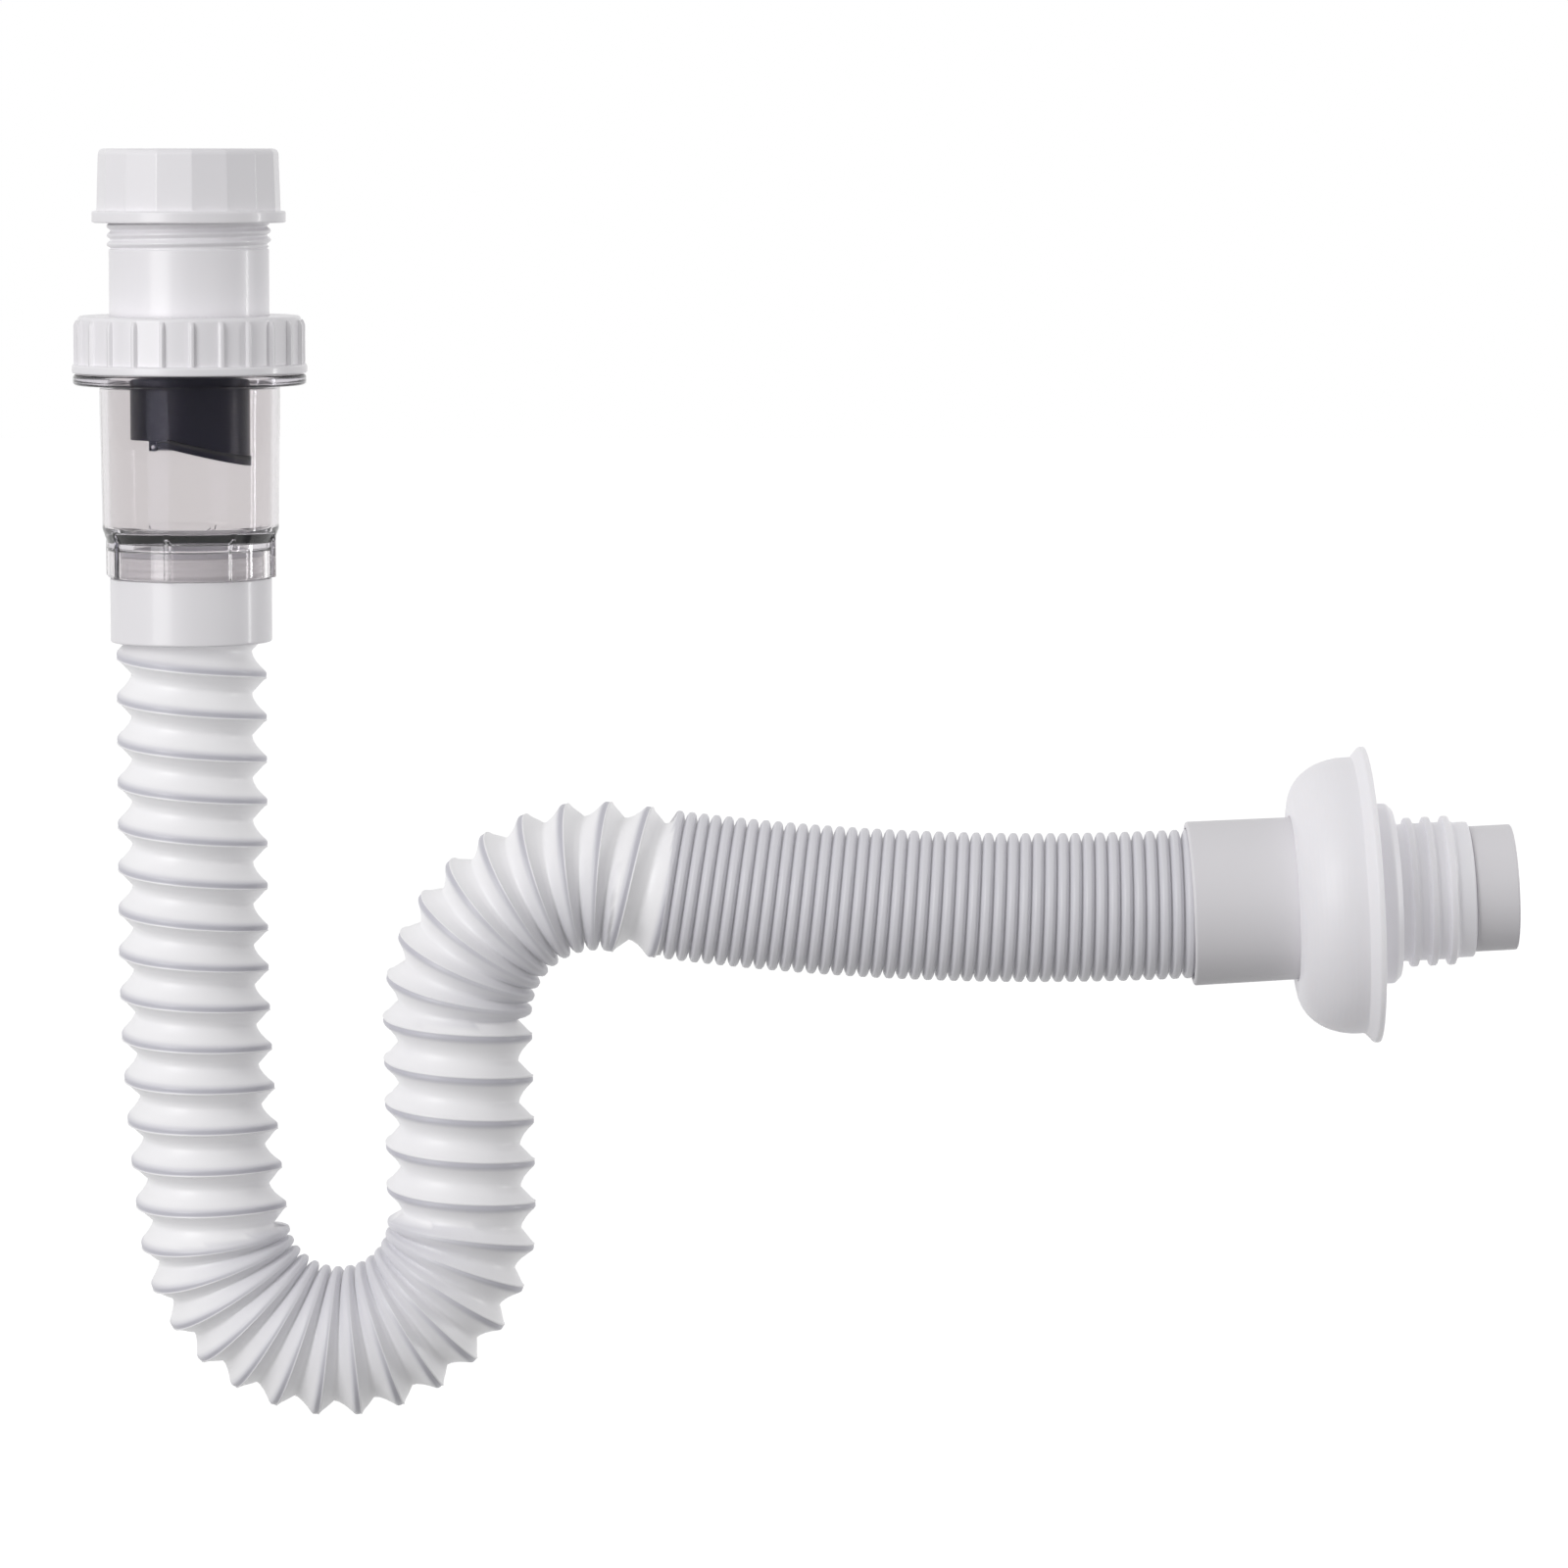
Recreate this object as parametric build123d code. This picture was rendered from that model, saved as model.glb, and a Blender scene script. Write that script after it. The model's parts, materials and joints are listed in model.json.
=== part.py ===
from build123d import *
import math
import os

# A flexible basin drain pipe, upright as it hangs under a basin.
# The origin is the mouth of the inlet tube, +Z points up along its axis, and the
# hose lies in the XZ plane with its outlet towards +X. Millimetres and degrees.

# Gaps between pieces
RUN_GAP = 0.3  # beside a thread or a turning piece
SEAT_GAP = 0.1  # between a soft seal and the rim it closes

# Inlet tube: a socket for the basin's 32 mm tailpiece
TAILPIECE_R = 16.0
SOCKET_GAP = 0.4
SOCKET_DEPTH = 28.0
NECK_WALL = 3.85
NECK_BORE_R = 14.2
INLET_THREAD_PROUD = 0.5
INLET_THREAD_LENGTH = 18.25
NECK_LENGTH = 17.0
TUBE_FLANGE_STEP = 4.0
TUBE_FLANGE_HEIGHT = 2.5

# Inlet nut and its tapered washer
NUT_FACETS = 16
NUT_FACET_TURN = 7.5
NUT_WALL = 1.7
NUT_DRAFT_STEP = 0.5
NUT_FACET_HEIGHT = 15.75
NUT_LIP_HEIGHT = 3.5
NUT_TOP_CHAMFER = 1.2
NUT_FLANGE_STEP = 1.25
NUT_FLANGE_HEIGHT = 3.0
WASHER_HEIGHT = 3.5
WASHER_TAPER = 2.0

# Ribbed ring nut that clamps the clear cup to the inlet tube
RING_HEIGHT = 14.5
RING_LIP_HEIGHT = 2.5
RING_WALL = 3.7
RING_RIBS = 24
RING_RIB_TURN = 6.4
RING_RIB_WIDTH = 1.6
RING_RIB_PROUD = 1.0
RING_BAND_HEIGHT = 2.25
RING_BAND_PROUD = 1.5
RING_TOP_CHAMFER = 0.8

# Flat gaskets
INLET_GASKET_HEIGHT = 1.5
INLET_GASKET_WIDTH = 8.0
CUFF_GASKET_HEIGHT = 1.5

# Clear cup
CUP_WALL = 2.0
CUP_CHAMBER_GAP = 5.75
CUP_DRAFT_STEP = 0.5
CUP_FLANGE_HEIGHT = 2.75
CUP_FLANGE_INSET = 0.25
CUP_WALL_HEIGHT = 36.5
CUP_SHOULDER_HEIGHT = 3.25
CUP_FLOOR_HEIGHT = 2.0
CUP_SOCKET_DEPTH = 7.0
CUP_SOCKET_WALL = 2.5
GUSSETS = 8
GUSSET_TURN = 34.4
GUSSET_WIDTH = 1.6
GUSSET_PROUD = 1.0

# Valve core: a tube with a flat floor on the left and a slanted rim on the right
CORE_R = 15.15
CORE_WALL = 1.55
CORE_FLANGE_HEIGHT = 1.2
CORE_LENGTH = 24.75
CORE_FLOOR_HEIGHT = 1.5
CORE_STEP_X = -4.25
CORE_RIM_RISE = 0.5
CORE_RIM_SLOPE = 13.8

# Flap that closes the slanted rim: a faced plate on a pin between two lugs, shut by a spring
HINGE_X = -8.0
HINGE_DROP = 1.5
LUG_WIDTH = 2.0
PIN_R = 0.5
PIN_GAP = 0.1
KNUCKLE_R = 1.2
KNUCKLE_WIDTH = 5.0
KNUCKLE_GAP = 0.4
FLAP_HEIGHT = 1.4
FLAP_OVERHANG = 0.35
FLAP_SEAL_HEIGHT = 0.8
SPRING_WIRE_R = 0.3
SPRING_GAP = 0.3
SPRING_TURNS = 5.5
SPRING_PITCH = 0.75
SPRING_LEG = 4.0
SPRING_STUB = 1.5

# Hose: one blow-moulded tube with a left-handed spiral fold
RIDGE_R = 19.0
VALLEY_R = 15.3
HOSE_WALL = 1.0
OPEN_PITCH = 10.8
SHUT_PITCH = 3.24
VALLEY_SHARE = 0.52  # how far along a turn of the fold its valley lies, after the ridge
FOLD_LEAD = 9.0
COLLAR_HEIGHT = 3.0
COLLAR_INSET = 0.1
ARM_LEAD = 5.0
SPLINE_SPANS = 8
SEAM_ANGLE = math.pi / 2  # the fold's turns are counted from the back of the hose
ROUNDING = 1e-9

# Course of the hose, from the cup to the wall
DROP_LENGTH = 72.6
LEAN_R = 627.0
LEAN_TURN = 7.3
U_R = 31.7
U_TURN = 173.7
RISE_LENGTH = 51.2
CROWN_R = 35.8
CROWN_TURN = 99.3
ARM_R = 741.5
ARM_OPEN_TURN = 1.0
ARM_SHUT_TURN = 10.3

# Cuffs at the two ends of the hose
CUFF_WALL = 1.2
CUFF_HEIGHT = 16.25
CUFF_CHAMFER = 0.8
CUFF_SPIGOT_STEP = 2.1
CUFF_BORE_R = 14.6
OUTLET_WALL = 1.6
OUTLET_DRAFT_STEP = 0.4
OUTLET_CUFF_LENGTH = 50.8
OUTLET_CUFF_BORE_R = 18.0
OUTLET_TAPER = 4.0
SPIGOT_R = 16.0
SPIGOT_WALL = 1.8
SPIGOT_LENGTH = 32.0
SPIGOT_SEAT_STEP = 0.4
SPIGOT_CHAMFER = 0.4

# Wall seal: a soft bell over the hole in the wall, with a ribbed sleeve inside the hole
SEAL_GAP = 0.25
SEAL_HUB_WALL = 1.95
SEAL_BELL_WALL = 2.6
SEAL_BELL_R = 35.25
SEAL_BELL_DEPTH = 19.5
SEAL_NOSE_R = 24.25
SEAL_SKIRT = 5.0
SEAL_SETBACK = 5.0
SEAL_LIP_R = 37.75
SEAL_LIP_HEIGHT = 0.8
SEAL_END_WALL = 1.6
SLEEVE_WALL = 1.25
SLEEVE_LENGTH = 19.0
SLEEVE_RIBS = 3
SLEEVE_RIB_PROUD = 1.5
SLEEVE_RIB_PITCH = 4.75
SLEEVE_RIB_WIDTH = 1.4
SLEEVE_RIB_LEAD = 3.75
SLEEVE_END_STEP = 0.25
SLEEVE_END_LENGTH = 4.0

# Radii that follow from the driving sizes
socket_r = TAILPIECE_R + SOCKET_GAP
neck_r = socket_r + NECK_WALL
inlet_thread_r = neck_r + INLET_THREAD_PROUD
tube_flange_r = neck_r + TUBE_FLANGE_STEP
nut_bore_r = inlet_thread_r + RUN_GAP
nut_top_r = nut_bore_r + NUT_WALL
nut_foot_r = nut_top_r + NUT_DRAFT_STEP
ring_bore_r = tube_flange_r + RUN_GAP
ring_panel_r = ring_bore_r + RING_WALL
ring_band_r = ring_panel_r + RING_BAND_PROUD
core_bore_r = CORE_R - CORE_WALL
chamber_r = CORE_R + CUP_CHAMBER_GAP
collar_r = RIDGE_R - COLLAR_INSET
cuff_recess_r = RIDGE_R + RUN_GAP
cuff_r = cuff_recess_r + CUFF_WALL
cuff_spigot_r = cuff_r - CUFF_SPIGOT_STEP
cup_socket_r = cuff_spigot_r + RUN_GAP
cup_foot_r = cup_socket_r + CUP_SOCKET_WALL
outlet_cuff_r = cuff_recess_r + OUTLET_WALL

# Levels down the inlet stack, each below the one before
ring_top = -(INLET_THREAD_LENGTH + NECK_LENGTH)
tube_flange_top = ring_top - RING_LIP_HEIGHT
tube_foot = tube_flange_top - TUBE_FLANGE_HEIGHT
core_top = tube_foot - INLET_GASKET_HEIGHT
cup_top = core_top - CORE_FLANGE_HEIGHT
ring_foot = ring_top - RING_HEIGHT
cup_flange_top = ring_foot - CUP_FLANGE_INSET
cup_flange_foot = cup_flange_top - CUP_FLANGE_HEIGHT
shoulder_top = cup_flange_foot - CUP_WALL_HEIGHT
cup_floor_top = shoulder_top - CUP_SHOULDER_HEIGHT
cup_socket_top = cup_floor_top - CUP_FLOOR_HEIGHT
cup_foot = cup_socket_top - CUP_SOCKET_DEPTH
spigot_top = cup_socket_top - CUFF_GASKET_HEIGHT
cuff_top = cup_foot - RUN_GAP
cuff_foot = cuff_top - CUFF_HEIGHT


def turned(points):
    """A solid turned about Z from its half section, given as (radius, height) points."""
    section = make_face(Plane.XZ * Polyline(*points, close=True))
    return revolve(section, Axis.Z)


def ring(inner_r, outer_r, foot, top):
    """A plain ring about Z between two levels."""
    return turned([(inner_r, foot), (outer_r, foot), (outer_r, top), (inner_r, top)])


def side_prism(points, half_width):
    """A shape drawn in the XZ plane and carried the same way to both sides of it."""
    return extrude(make_face(Plane.XZ * Polyline(*points, close=True)), half_width, both=True)


def side_rod(x, z, r, half_width):
    """A round rod along Y."""
    return extrude(Plane.XZ * Pos(x, z) * Circle(r), half_width, both=True)


# Inlet group

def inlet_nut():
    """A many-sided compression nut with a round foot flange and a lip over the washer."""
    top = WASHER_HEIGHT + NUT_LIP_HEIGHT
    flange_top = top - NUT_FACET_HEIGHT
    foot = flange_top - NUT_FLANGE_HEIGHT
    lower = Plane.XY.offset(flange_top) * RegularPolygon(nut_foot_r, NUT_FACETS, rotation=NUT_FACET_TURN)
    upper = Plane.XY.offset(top) * RegularPolygon(nut_top_r, NUT_FACETS, rotation=NUT_FACET_TURN)
    body = chamfer(loft([lower, upper]).faces().sort_by(Axis.Z)[-1].edges(), NUT_TOP_CHAMFER)
    body += ring(nut_bore_r, nut_foot_r + NUT_FLANGE_STEP, foot, flange_top)
    bores = ring(0, nut_bore_r, foot, WASHER_HEIGHT) + ring(0, socket_r + SOCKET_GAP, foot, top)
    return body - bores


def inlet_washer():
    """A soft washer on the tube's mouth, tapered where the nut's lip presses it inwards."""
    return turned([
        (socket_r + SEAT_GAP, 0),
        (inlet_thread_r, 0),
        (inlet_thread_r, WASHER_HEIGHT - WASHER_TAPER),
        (inlet_thread_r - WASHER_TAPER, WASHER_HEIGHT),
        (socket_r + SEAT_GAP, WASHER_HEIGHT),
    ])


def inlet_tube():
    """The white inlet: threaded mouth, plain neck, and the flange that the ring nut pulls on."""
    return turned([
        (socket_r, 0),
        (inlet_thread_r, 0),
        (inlet_thread_r, -INLET_THREAD_LENGTH),
        (neck_r, -INLET_THREAD_LENGTH),
        (neck_r, tube_flange_top),
        (tube_flange_r, tube_flange_top),
        (tube_flange_r, tube_foot),
        (NECK_BORE_R, tube_foot),
        (NECK_BORE_R, -SOCKET_DEPTH),
        (socket_r, -SOCKET_DEPTH),
    ])


def ring_nut():
    """The ribbed nut: a lip round the neck, grip ribs and a plain band at the foot."""
    nut = turned([
        (neck_r + RUN_GAP, ring_top),
        (ring_panel_r - RING_TOP_CHAMFER, ring_top),
        (ring_panel_r, ring_top - RING_TOP_CHAMFER),
        (ring_panel_r, ring_foot + RING_BAND_HEIGHT),
        (ring_band_r, ring_foot + RING_BAND_HEIGHT),
        (ring_band_r, ring_foot),
        (ring_bore_r, ring_foot),
        (ring_bore_r, tube_flange_top),
        (neck_r + RUN_GAP, tube_flange_top),
    ])
    rib = side_prism([
        (ring_bore_r + RING_WALL / 2, ring_top - RING_TOP_CHAMFER),
        (ring_panel_r, ring_top - RING_TOP_CHAMFER),
        (ring_panel_r + RING_RIB_PROUD, ring_top - RING_TOP_CHAMFER - RING_RIB_PROUD),
        (ring_panel_r + RING_RIB_PROUD, ring_foot + RING_BAND_HEIGHT),
        (ring_bore_r + RING_WALL / 2, ring_foot + RING_BAND_HEIGHT),
    ], RING_RIB_WIDTH / 2)
    for index in range(RING_RIBS):
        nut += Rot(0, 0, RING_RIB_TURN - 90 + index * 360 / RING_RIBS) * rib
    return nut


def inlet_gasket():
    """A flat rubber ring between the inlet tube's flange and the valve core's flange."""
    outer = tube_flange_r - RUN_GAP
    return ring(outer - INLET_GASKET_WIDTH, outer, core_top, tube_foot)


# Clear cup

def clear_cup():
    """A see-through chamber: threaded collar, flange, tapered wall, floor with a hole, and a socket."""
    foot_inner_r = chamber_r - CUP_DRAFT_STEP
    foot_outer_r = foot_inner_r + CUP_WALL
    cup = turned([
        (chamber_r, cup_top),
        (tube_flange_r, cup_top),
        (tube_flange_r, cup_flange_top),
        (ring_band_r - CUP_FLANGE_INSET, cup_flange_top),
        (ring_band_r - CUP_FLANGE_INSET, cup_flange_foot),
        (chamber_r + CUP_WALL, cup_flange_foot),
        (foot_outer_r, shoulder_top),
        (cup_foot_r, cup_floor_top),
        (cup_foot_r, cup_foot),
        (cup_socket_r, cup_foot),
        (cup_socket_r, cup_socket_top),
        (CUFF_BORE_R, cup_socket_top),
        (CUFF_BORE_R, cup_floor_top),
        (foot_inner_r, shoulder_top),
    ])
    gusset = side_prism([
        (cup_socket_r + CUP_SOCKET_WALL / 2, cup_foot),
        (cup_foot_r + GUSSET_PROUD, cup_foot),
        (cup_foot_r + GUSSET_PROUD, cup_floor_top),
        (cup_socket_r + CUP_SOCKET_WALL / 2, shoulder_top - CUP_SHOULDER_HEIGHT / 2),
    ], GUSSET_WIDTH / 2)
    for index in range(GUSSETS):
        cup += Rot(0, 0, GUSSET_TURN - 90 + index * 360 / GUSSETS) * gusset
    return cup


# Valve core and flap
core_foot = core_top - CORE_LENGTH
pin_z = core_foot - HINGE_DROP
lug_inner_y = math.sqrt(core_bore_r**2 - HINGE_X**2)
lug_outer_y = math.sqrt(CORE_R**2 - HINGE_X**2)
knuckle_outer_y = lug_inner_y - KNUCKLE_GAP
spring_r = PIN_R + SPRING_GAP + 2 * SPRING_WIRE_R
spring_length = SPRING_TURNS * SPRING_PITCH
rim_fall = math.tan(math.radians(CORE_RIM_SLOPE))


def rim_z(x, below=0.0):
    """Level of the slanted rim at x, or of a plane lying that far below it, square to the rim."""
    drop = below / math.cos(math.radians(CORE_RIM_SLOPE))
    return core_foot + CORE_RIM_RISE - (x - CORE_STEP_X) * rim_fall - drop


def valve_core():
    """The dark insert: a clamped flange, a tube with a part floor and a slanted rim, and two hinge lugs."""
    far = 2 * CORE_R
    core = ring(0, CORE_R, core_foot - far, core_top)
    core += ring(core_bore_r, tube_flange_r - RUN_GAP, cup_top, core_top)
    core -= side_prism([
        (-far, core_foot),
        (CORE_STEP_X, core_foot),
        (CORE_STEP_X, rim_z(CORE_STEP_X)),
        (far, rim_z(far)),
        (far, core_foot - 2 * far),
        (-far, core_foot - 2 * far),
    ], far)
    floor = side_prism([
        (-far, core_foot),
        (CORE_STEP_X, core_foot),
        (CORE_STEP_X, core_foot + CORE_FLOOR_HEIGHT),
        (-far, core_foot + CORE_FLOOR_HEIGHT),
    ], far)
    core -= ring(0, core_bore_r, core_foot - far, core_top) - floor
    lug_foot = pin_z - LUG_WIDTH / 2
    lugs = side_prism([
        (HINGE_X - LUG_WIDTH / 2, lug_foot),
        (HINGE_X + LUG_WIDTH / 2, lug_foot),
        (HINGE_X + LUG_WIDTH / 2, core_foot + CORE_FLOOR_HEIGHT / 2),
        (HINGE_X - LUG_WIDTH / 2, core_foot + CORE_FLOOR_HEIGHT / 2),
    ], lug_outer_y - RUN_GAP)
    lugs -= side_prism([(-far, lug_foot), (0, lug_foot), (0, core_foot), (-far, core_foot)], lug_inner_y)
    return core + lugs - side_rod(HINGE_X, pin_z, PIN_R, far)


def flap_pin():
    """A steel pin between the two lugs, flush with their outer faces."""
    return side_rod(HINGE_X, pin_z, PIN_R, lug_outer_y - RUN_GAP)


def rim_slab(near, far):
    """A slab under the slanted rim, between two depths below it, cut to the core's round outline."""
    reach = CORE_R + FLAP_OVERHANG
    slab = side_prism([
        (CORE_STEP_X + RUN_GAP, rim_z(CORE_STEP_X + RUN_GAP, near)),
        (2 * reach, rim_z(2 * reach, near)),
        (2 * reach, rim_z(2 * reach, far)),
        (CORE_STEP_X + RUN_GAP, rim_z(CORE_STEP_X + RUN_GAP, far)),
    ], 2 * reach)
    return slab & ring(0, reach, core_foot - 2 * reach, core_top)


def flap_seal():
    """A rubber facing on the flap, just clear of the rim."""
    return rim_slab(SEAT_GAP, SEAT_GAP + FLAP_SEAL_HEIGHT)


def flap():
    """A round plate under the rim, with two webbed knuckles on the pin and room for the spring between."""
    near = SEAT_GAP + FLAP_SEAL_HEIGHT
    far = near + FLAP_HEIGHT
    plate = rim_slab(near, far)
    root_x = CORE_STEP_X + RUN_GAP + FLAP_HEIGHT
    arm = side_rod(HINGE_X, pin_z, KNUCKLE_R, knuckle_outer_y) + side_prism([
        (HINGE_X, pin_z - KNUCKLE_R / 2),
        (root_x, rim_z(root_x, far)),
        (root_x, rim_z(root_x, near)),
        (CORE_STEP_X, rim_z(CORE_STEP_X + RUN_GAP, near)),
        (HINGE_X, pin_z + KNUCKLE_R),
    ], knuckle_outer_y)
    inner_y = knuckle_outer_y - KNUCKLE_WIDTH
    room = side_rod(HINGE_X, pin_z, spring_r + SPRING_STUB + SPRING_WIRE_R, inner_y)
    return plate + (arm - room) - side_rod(HINGE_X, pin_z, PIN_R + PIN_GAP, 2 * CORE_R)


def flap_spring():
    """A torsion spring on the pin: a long leg lifts the flap, a short one bears on the core's floor."""
    mean_r = spring_r - SPRING_WIRE_R
    wire = Circle(SPRING_WIRE_R)
    coil = Helix(SPRING_PITCH, spring_length, mean_r)
    spring = sweep(Plane(origin=coil @ 0, z_dir=coil % 0) * wire, path=coil)
    spring += extrude(Plane(origin=coil @ 0, z_dir=-(coil % 0)) * wire, SPRING_LEG)
    spring += extrude(Plane(origin=coil @ 1, z_dir=coil % 1) * wire, SPRING_STUB)
    seat = Plane(origin=(HINGE_X, -spring_length / 2, pin_z), x_dir=(0, 0, -1), z_dir=(0, 1, 0))
    return seat.location * spring


# Hose cuff

def cuff_gasket():
    """A flat rubber ring between the cup's floor and the cuff's spigot."""
    return ring(CUFF_BORE_R, cuff_spigot_r, spigot_top, cup_socket_top)


def hose_cuff():
    """The white cuff: a threaded spigot for the cup and a recess that holds the hose's end."""
    ledge = cuff_foot + FOLD_LEAD + COLLAR_HEIGHT
    return turned([
        (CUFF_BORE_R, spigot_top),
        (cuff_spigot_r, spigot_top),
        (cuff_spigot_r, cuff_top),
        (cuff_r, cuff_top),
        (cuff_r, cuff_foot + CUFF_CHAMFER),
        (cuff_r - CUFF_CHAMFER, cuff_foot),
        (cuff_recess_r, cuff_foot),
        (cuff_recess_r, ledge),
        (CUFF_BORE_R, ledge),
    ])


# Hose

flank = math.hypot(OPEN_PITCH / 2, RIDGE_R - VALLEY_R)
fold_mid_r = (RIDGE_R + VALLEY_R) / 2
shut_valley_r = RIDGE_R - math.sqrt(flank**2 - (SHUT_PITCH / 2) ** 2)
shut_bore_r = shut_valley_r - HOSE_WALL


class Course:
    """The hose's centre line: straight runs and level arcs, each with one pitch of its fold."""

    def __init__(self, x, z, turns):
        self.stretches = []
        self.x, self.z, self.heading, self.length, self.turns = x, z, 0.0, 0.0, turns

    def add(self, length, turn, pitch):
        """Go on by a length while the heading swings by turn degrees, from down towards +X."""
        curl = math.radians(turn) / length
        start = (self.length, self.x, self.z, self.heading, self.turns, curl, pitch)
        self.stretches.append(start)
        self.x, self.z, self.heading = self.at(self.length + length)[:3]
        self.length += length
        self.turns += length / pitch

    def arc(self, radius, turn, pitch=None):
        """An arc; in a bend the folds are fully open along its outer side."""
        if pitch is None:
            pitch = OPEN_PITCH / (1 + fold_mid_r / radius)
        self.add(radius * abs(math.radians(turn)), turn, pitch)

    def at(self, length):
        """Centre, heading, curvature and pitch at a length along the course."""
        row = [r for r in self.stretches if r[0] <= length + ROUNDING][-1]
        start, x, z, heading, _, curl, pitch = row
        here = heading + curl * (length - start)
        if curl == 0:
            run = length - start
            return x + run * math.sin(here), z - run * math.cos(here), here, curl, pitch
        bend_x = x + (math.cos(heading) - math.cos(here)) / curl
        bend_z = z + (math.sin(heading) - math.sin(here)) / curl
        return bend_x, bend_z, here, curl, pitch

    def length_at(self, turns):
        """Length along the course where the fold has made a number of turns."""
        row = [r for r in self.stretches if r[4] <= turns][-1]
        return row[0] + (turns - row[4]) * row[6]

    def turns_at(self, length):
        """Turns of the fold up to a length along the course."""
        row = [r for r in self.stretches if r[0] <= length][-1]
        return row[4] + (length - row[0]) / row[6]


def hose_course():
    """The course from inside the cup's cuff to inside the outlet cuff."""
    course = Course(0.0, cuff_foot + FOLD_LEAD, -FOLD_LEAD / OPEN_PITCH)
    course.add(FOLD_LEAD + DROP_LENGTH, 0, OPEN_PITCH)
    course.arc(LEAN_R, LEAN_TURN)
    course.arc(U_R, U_TURN)
    course.add(RISE_LENGTH, 0, OPEN_PITCH)
    course.arc(CROWN_R, -CROWN_TURN)
    course.arc(ARM_R, ARM_OPEN_TURN)
    course.shut_from = course.length
    course.arc(ARM_R, ARM_SHUT_TURN, SHUT_PITCH)
    course.shut_to = course.length
    course.add(ARM_LEAD, 0, SHUT_PITCH)
    return course


course = hose_course()
arm_x, arm_z, arm_heading = course.at(course.shut_to)[:3]
outlet_plane = Plane(
    origin=(arm_x, 0, arm_z),
    x_dir=(0, 1, 0),
    z_dir=(math.sin(arm_heading), 0, -math.cos(arm_heading)),
)


def hose_point(length, angle, r):
    """A point at a radius round the centre line, with the angle counted from the heading's left."""
    x, z, heading, _, _ = course.at(length)
    out = r * math.cos(angle)
    return Vector(x + out * math.cos(heading), r * math.sin(angle), z + out * math.sin(heading))


def valley_r(length, angle):
    """Depth of the fold: each flank keeps its length, so a tighter pitch makes a deeper valley."""
    _, _, _, curl, pitch = course.at(length)
    half_pitch = pitch / 2 * (1 - curl * fold_mid_r * math.cos(angle))
    return RIDGE_R - math.sqrt(flank**2 - half_pitch**2)


def fold_line(first_turn, is_valley, inset):
    """One turn of a ridge or valley of the spiral fold, from the back of the hose round to it again."""
    points = []
    for step in range(SPLINE_SPANS + 1):
        angle = SEAM_ANGLE + 2 * math.pi * step / SPLINE_SPANS
        length = course.length_at(first_turn + step / SPLINE_SPANS)
        r = valley_r(length, angle) if is_valley else RIDGE_R
        points.append(hose_point(length, angle, r - inset))
    return Edge.make_spline(points)


def hose_circle(length, r, beyond=0.0):
    """A circle square to the centre line, or one carried straight on beyond that place."""
    x, z, heading, _, _ = course.at(length)
    ahead = Vector(math.sin(heading), 0, -math.cos(heading))
    centre = Vector(x, 0, z) + ahead * beyond
    return Edge.make_circle(r, Plane(origin=centre, x_dir=(0, 1, 0), z_dir=-ahead))


def hose_skin(lead_in, first, last, lead_out, inset):
    """One side of the folded wall: strips between the lines of the fold, with a blunt start and end."""
    lines = list(lead_in)
    for turn in range(first, last):
        lines.append(fold_line(turn - 1 + VALLEY_SHARE, True, inset))
        lines.append(fold_line(turn, False, inset))
    lines.append(fold_line(last - 1 + VALLEY_SHARE, True, inset))
    lines.extend(lead_out)
    faces = [Face.make_surface_from_curves(a, b) for a, b in zip(lines, lines[1:])]
    start, valley, ridge = lines[len(lead_in) - 1:len(lead_in) + 2]
    faces.append(Face(Wire.make_polygon([valley @ 0, ridge @ 0, valley @ 1])))
    faces.append(Face(Wire.make_polygon([start @ 0, valley @ 0, valley @ 1])))
    ridge, valley, end = lines[-len(lead_out) - 2:len(lines) - len(lead_out) + 1]
    faces.append(Face(Wire.make_polygon([valley @ 0, ridge @ 1, valley @ 1])))
    faces.append(Face(Wire.make_polygon([valley @ 0, valley @ 1, end @ 0])))
    return faces


def hose():
    """The whole hose: folded outside, folded inside where it is pulled out, plain collars at the ends."""
    end = course.length
    lead_r = VALLEY_R - 2 * COLLAR_INSET
    last_turn = math.floor(course.turns - VALLEY_SHARE)
    open_turns = math.floor(course.turns_at(course.shut_from))
    bore_from = course.length_at(open_turns + 1)
    bore_stops = [bore_from + (end - bore_from) * step / SPLINE_SPANS for step in range(SPLINE_SPANS + 1)]

    outside = hose_skin(
        [hose_circle(0, collar_r, -COLLAR_HEIGHT), hose_circle(0, collar_r), hose_circle(0, lead_r)],
        0, last_turn,
        [hose_circle(end, shut_valley_r - COLLAR_INSET), hose_circle(end, collar_r),
         hose_circle(end, collar_r, COLLAR_HEIGHT)],
        0.0,
    )
    inside = hose_skin(
        [hose_circle(0, lead_r - HOSE_WALL, -COLLAR_HEIGHT), hose_circle(0, lead_r - HOSE_WALL)],
        0, open_turns,
        [hose_circle(stop, shut_bore_r - COLLAR_INSET) for stop in bore_stops]
        + [hose_circle(end, shut_bore_r - COLLAR_INSET, COLLAR_HEIGHT)],
        HOSE_WALL,
    )
    top_rim = Face(
        Wire([hose_circle(0, collar_r, -COLLAR_HEIGHT)]),
        [Wire([hose_circle(0, lead_r - HOSE_WALL, -COLLAR_HEIGHT)])],
    )
    end_rim = Face(
        Wire([hose_circle(end, collar_r, COLLAR_HEIGHT)]),
        [Wire([hose_circle(end, shut_bore_r - COLLAR_INSET, COLLAR_HEIGHT)])],
    )
    return Solid(Shell(outside + inside + [top_rim, end_rim]))


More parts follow.
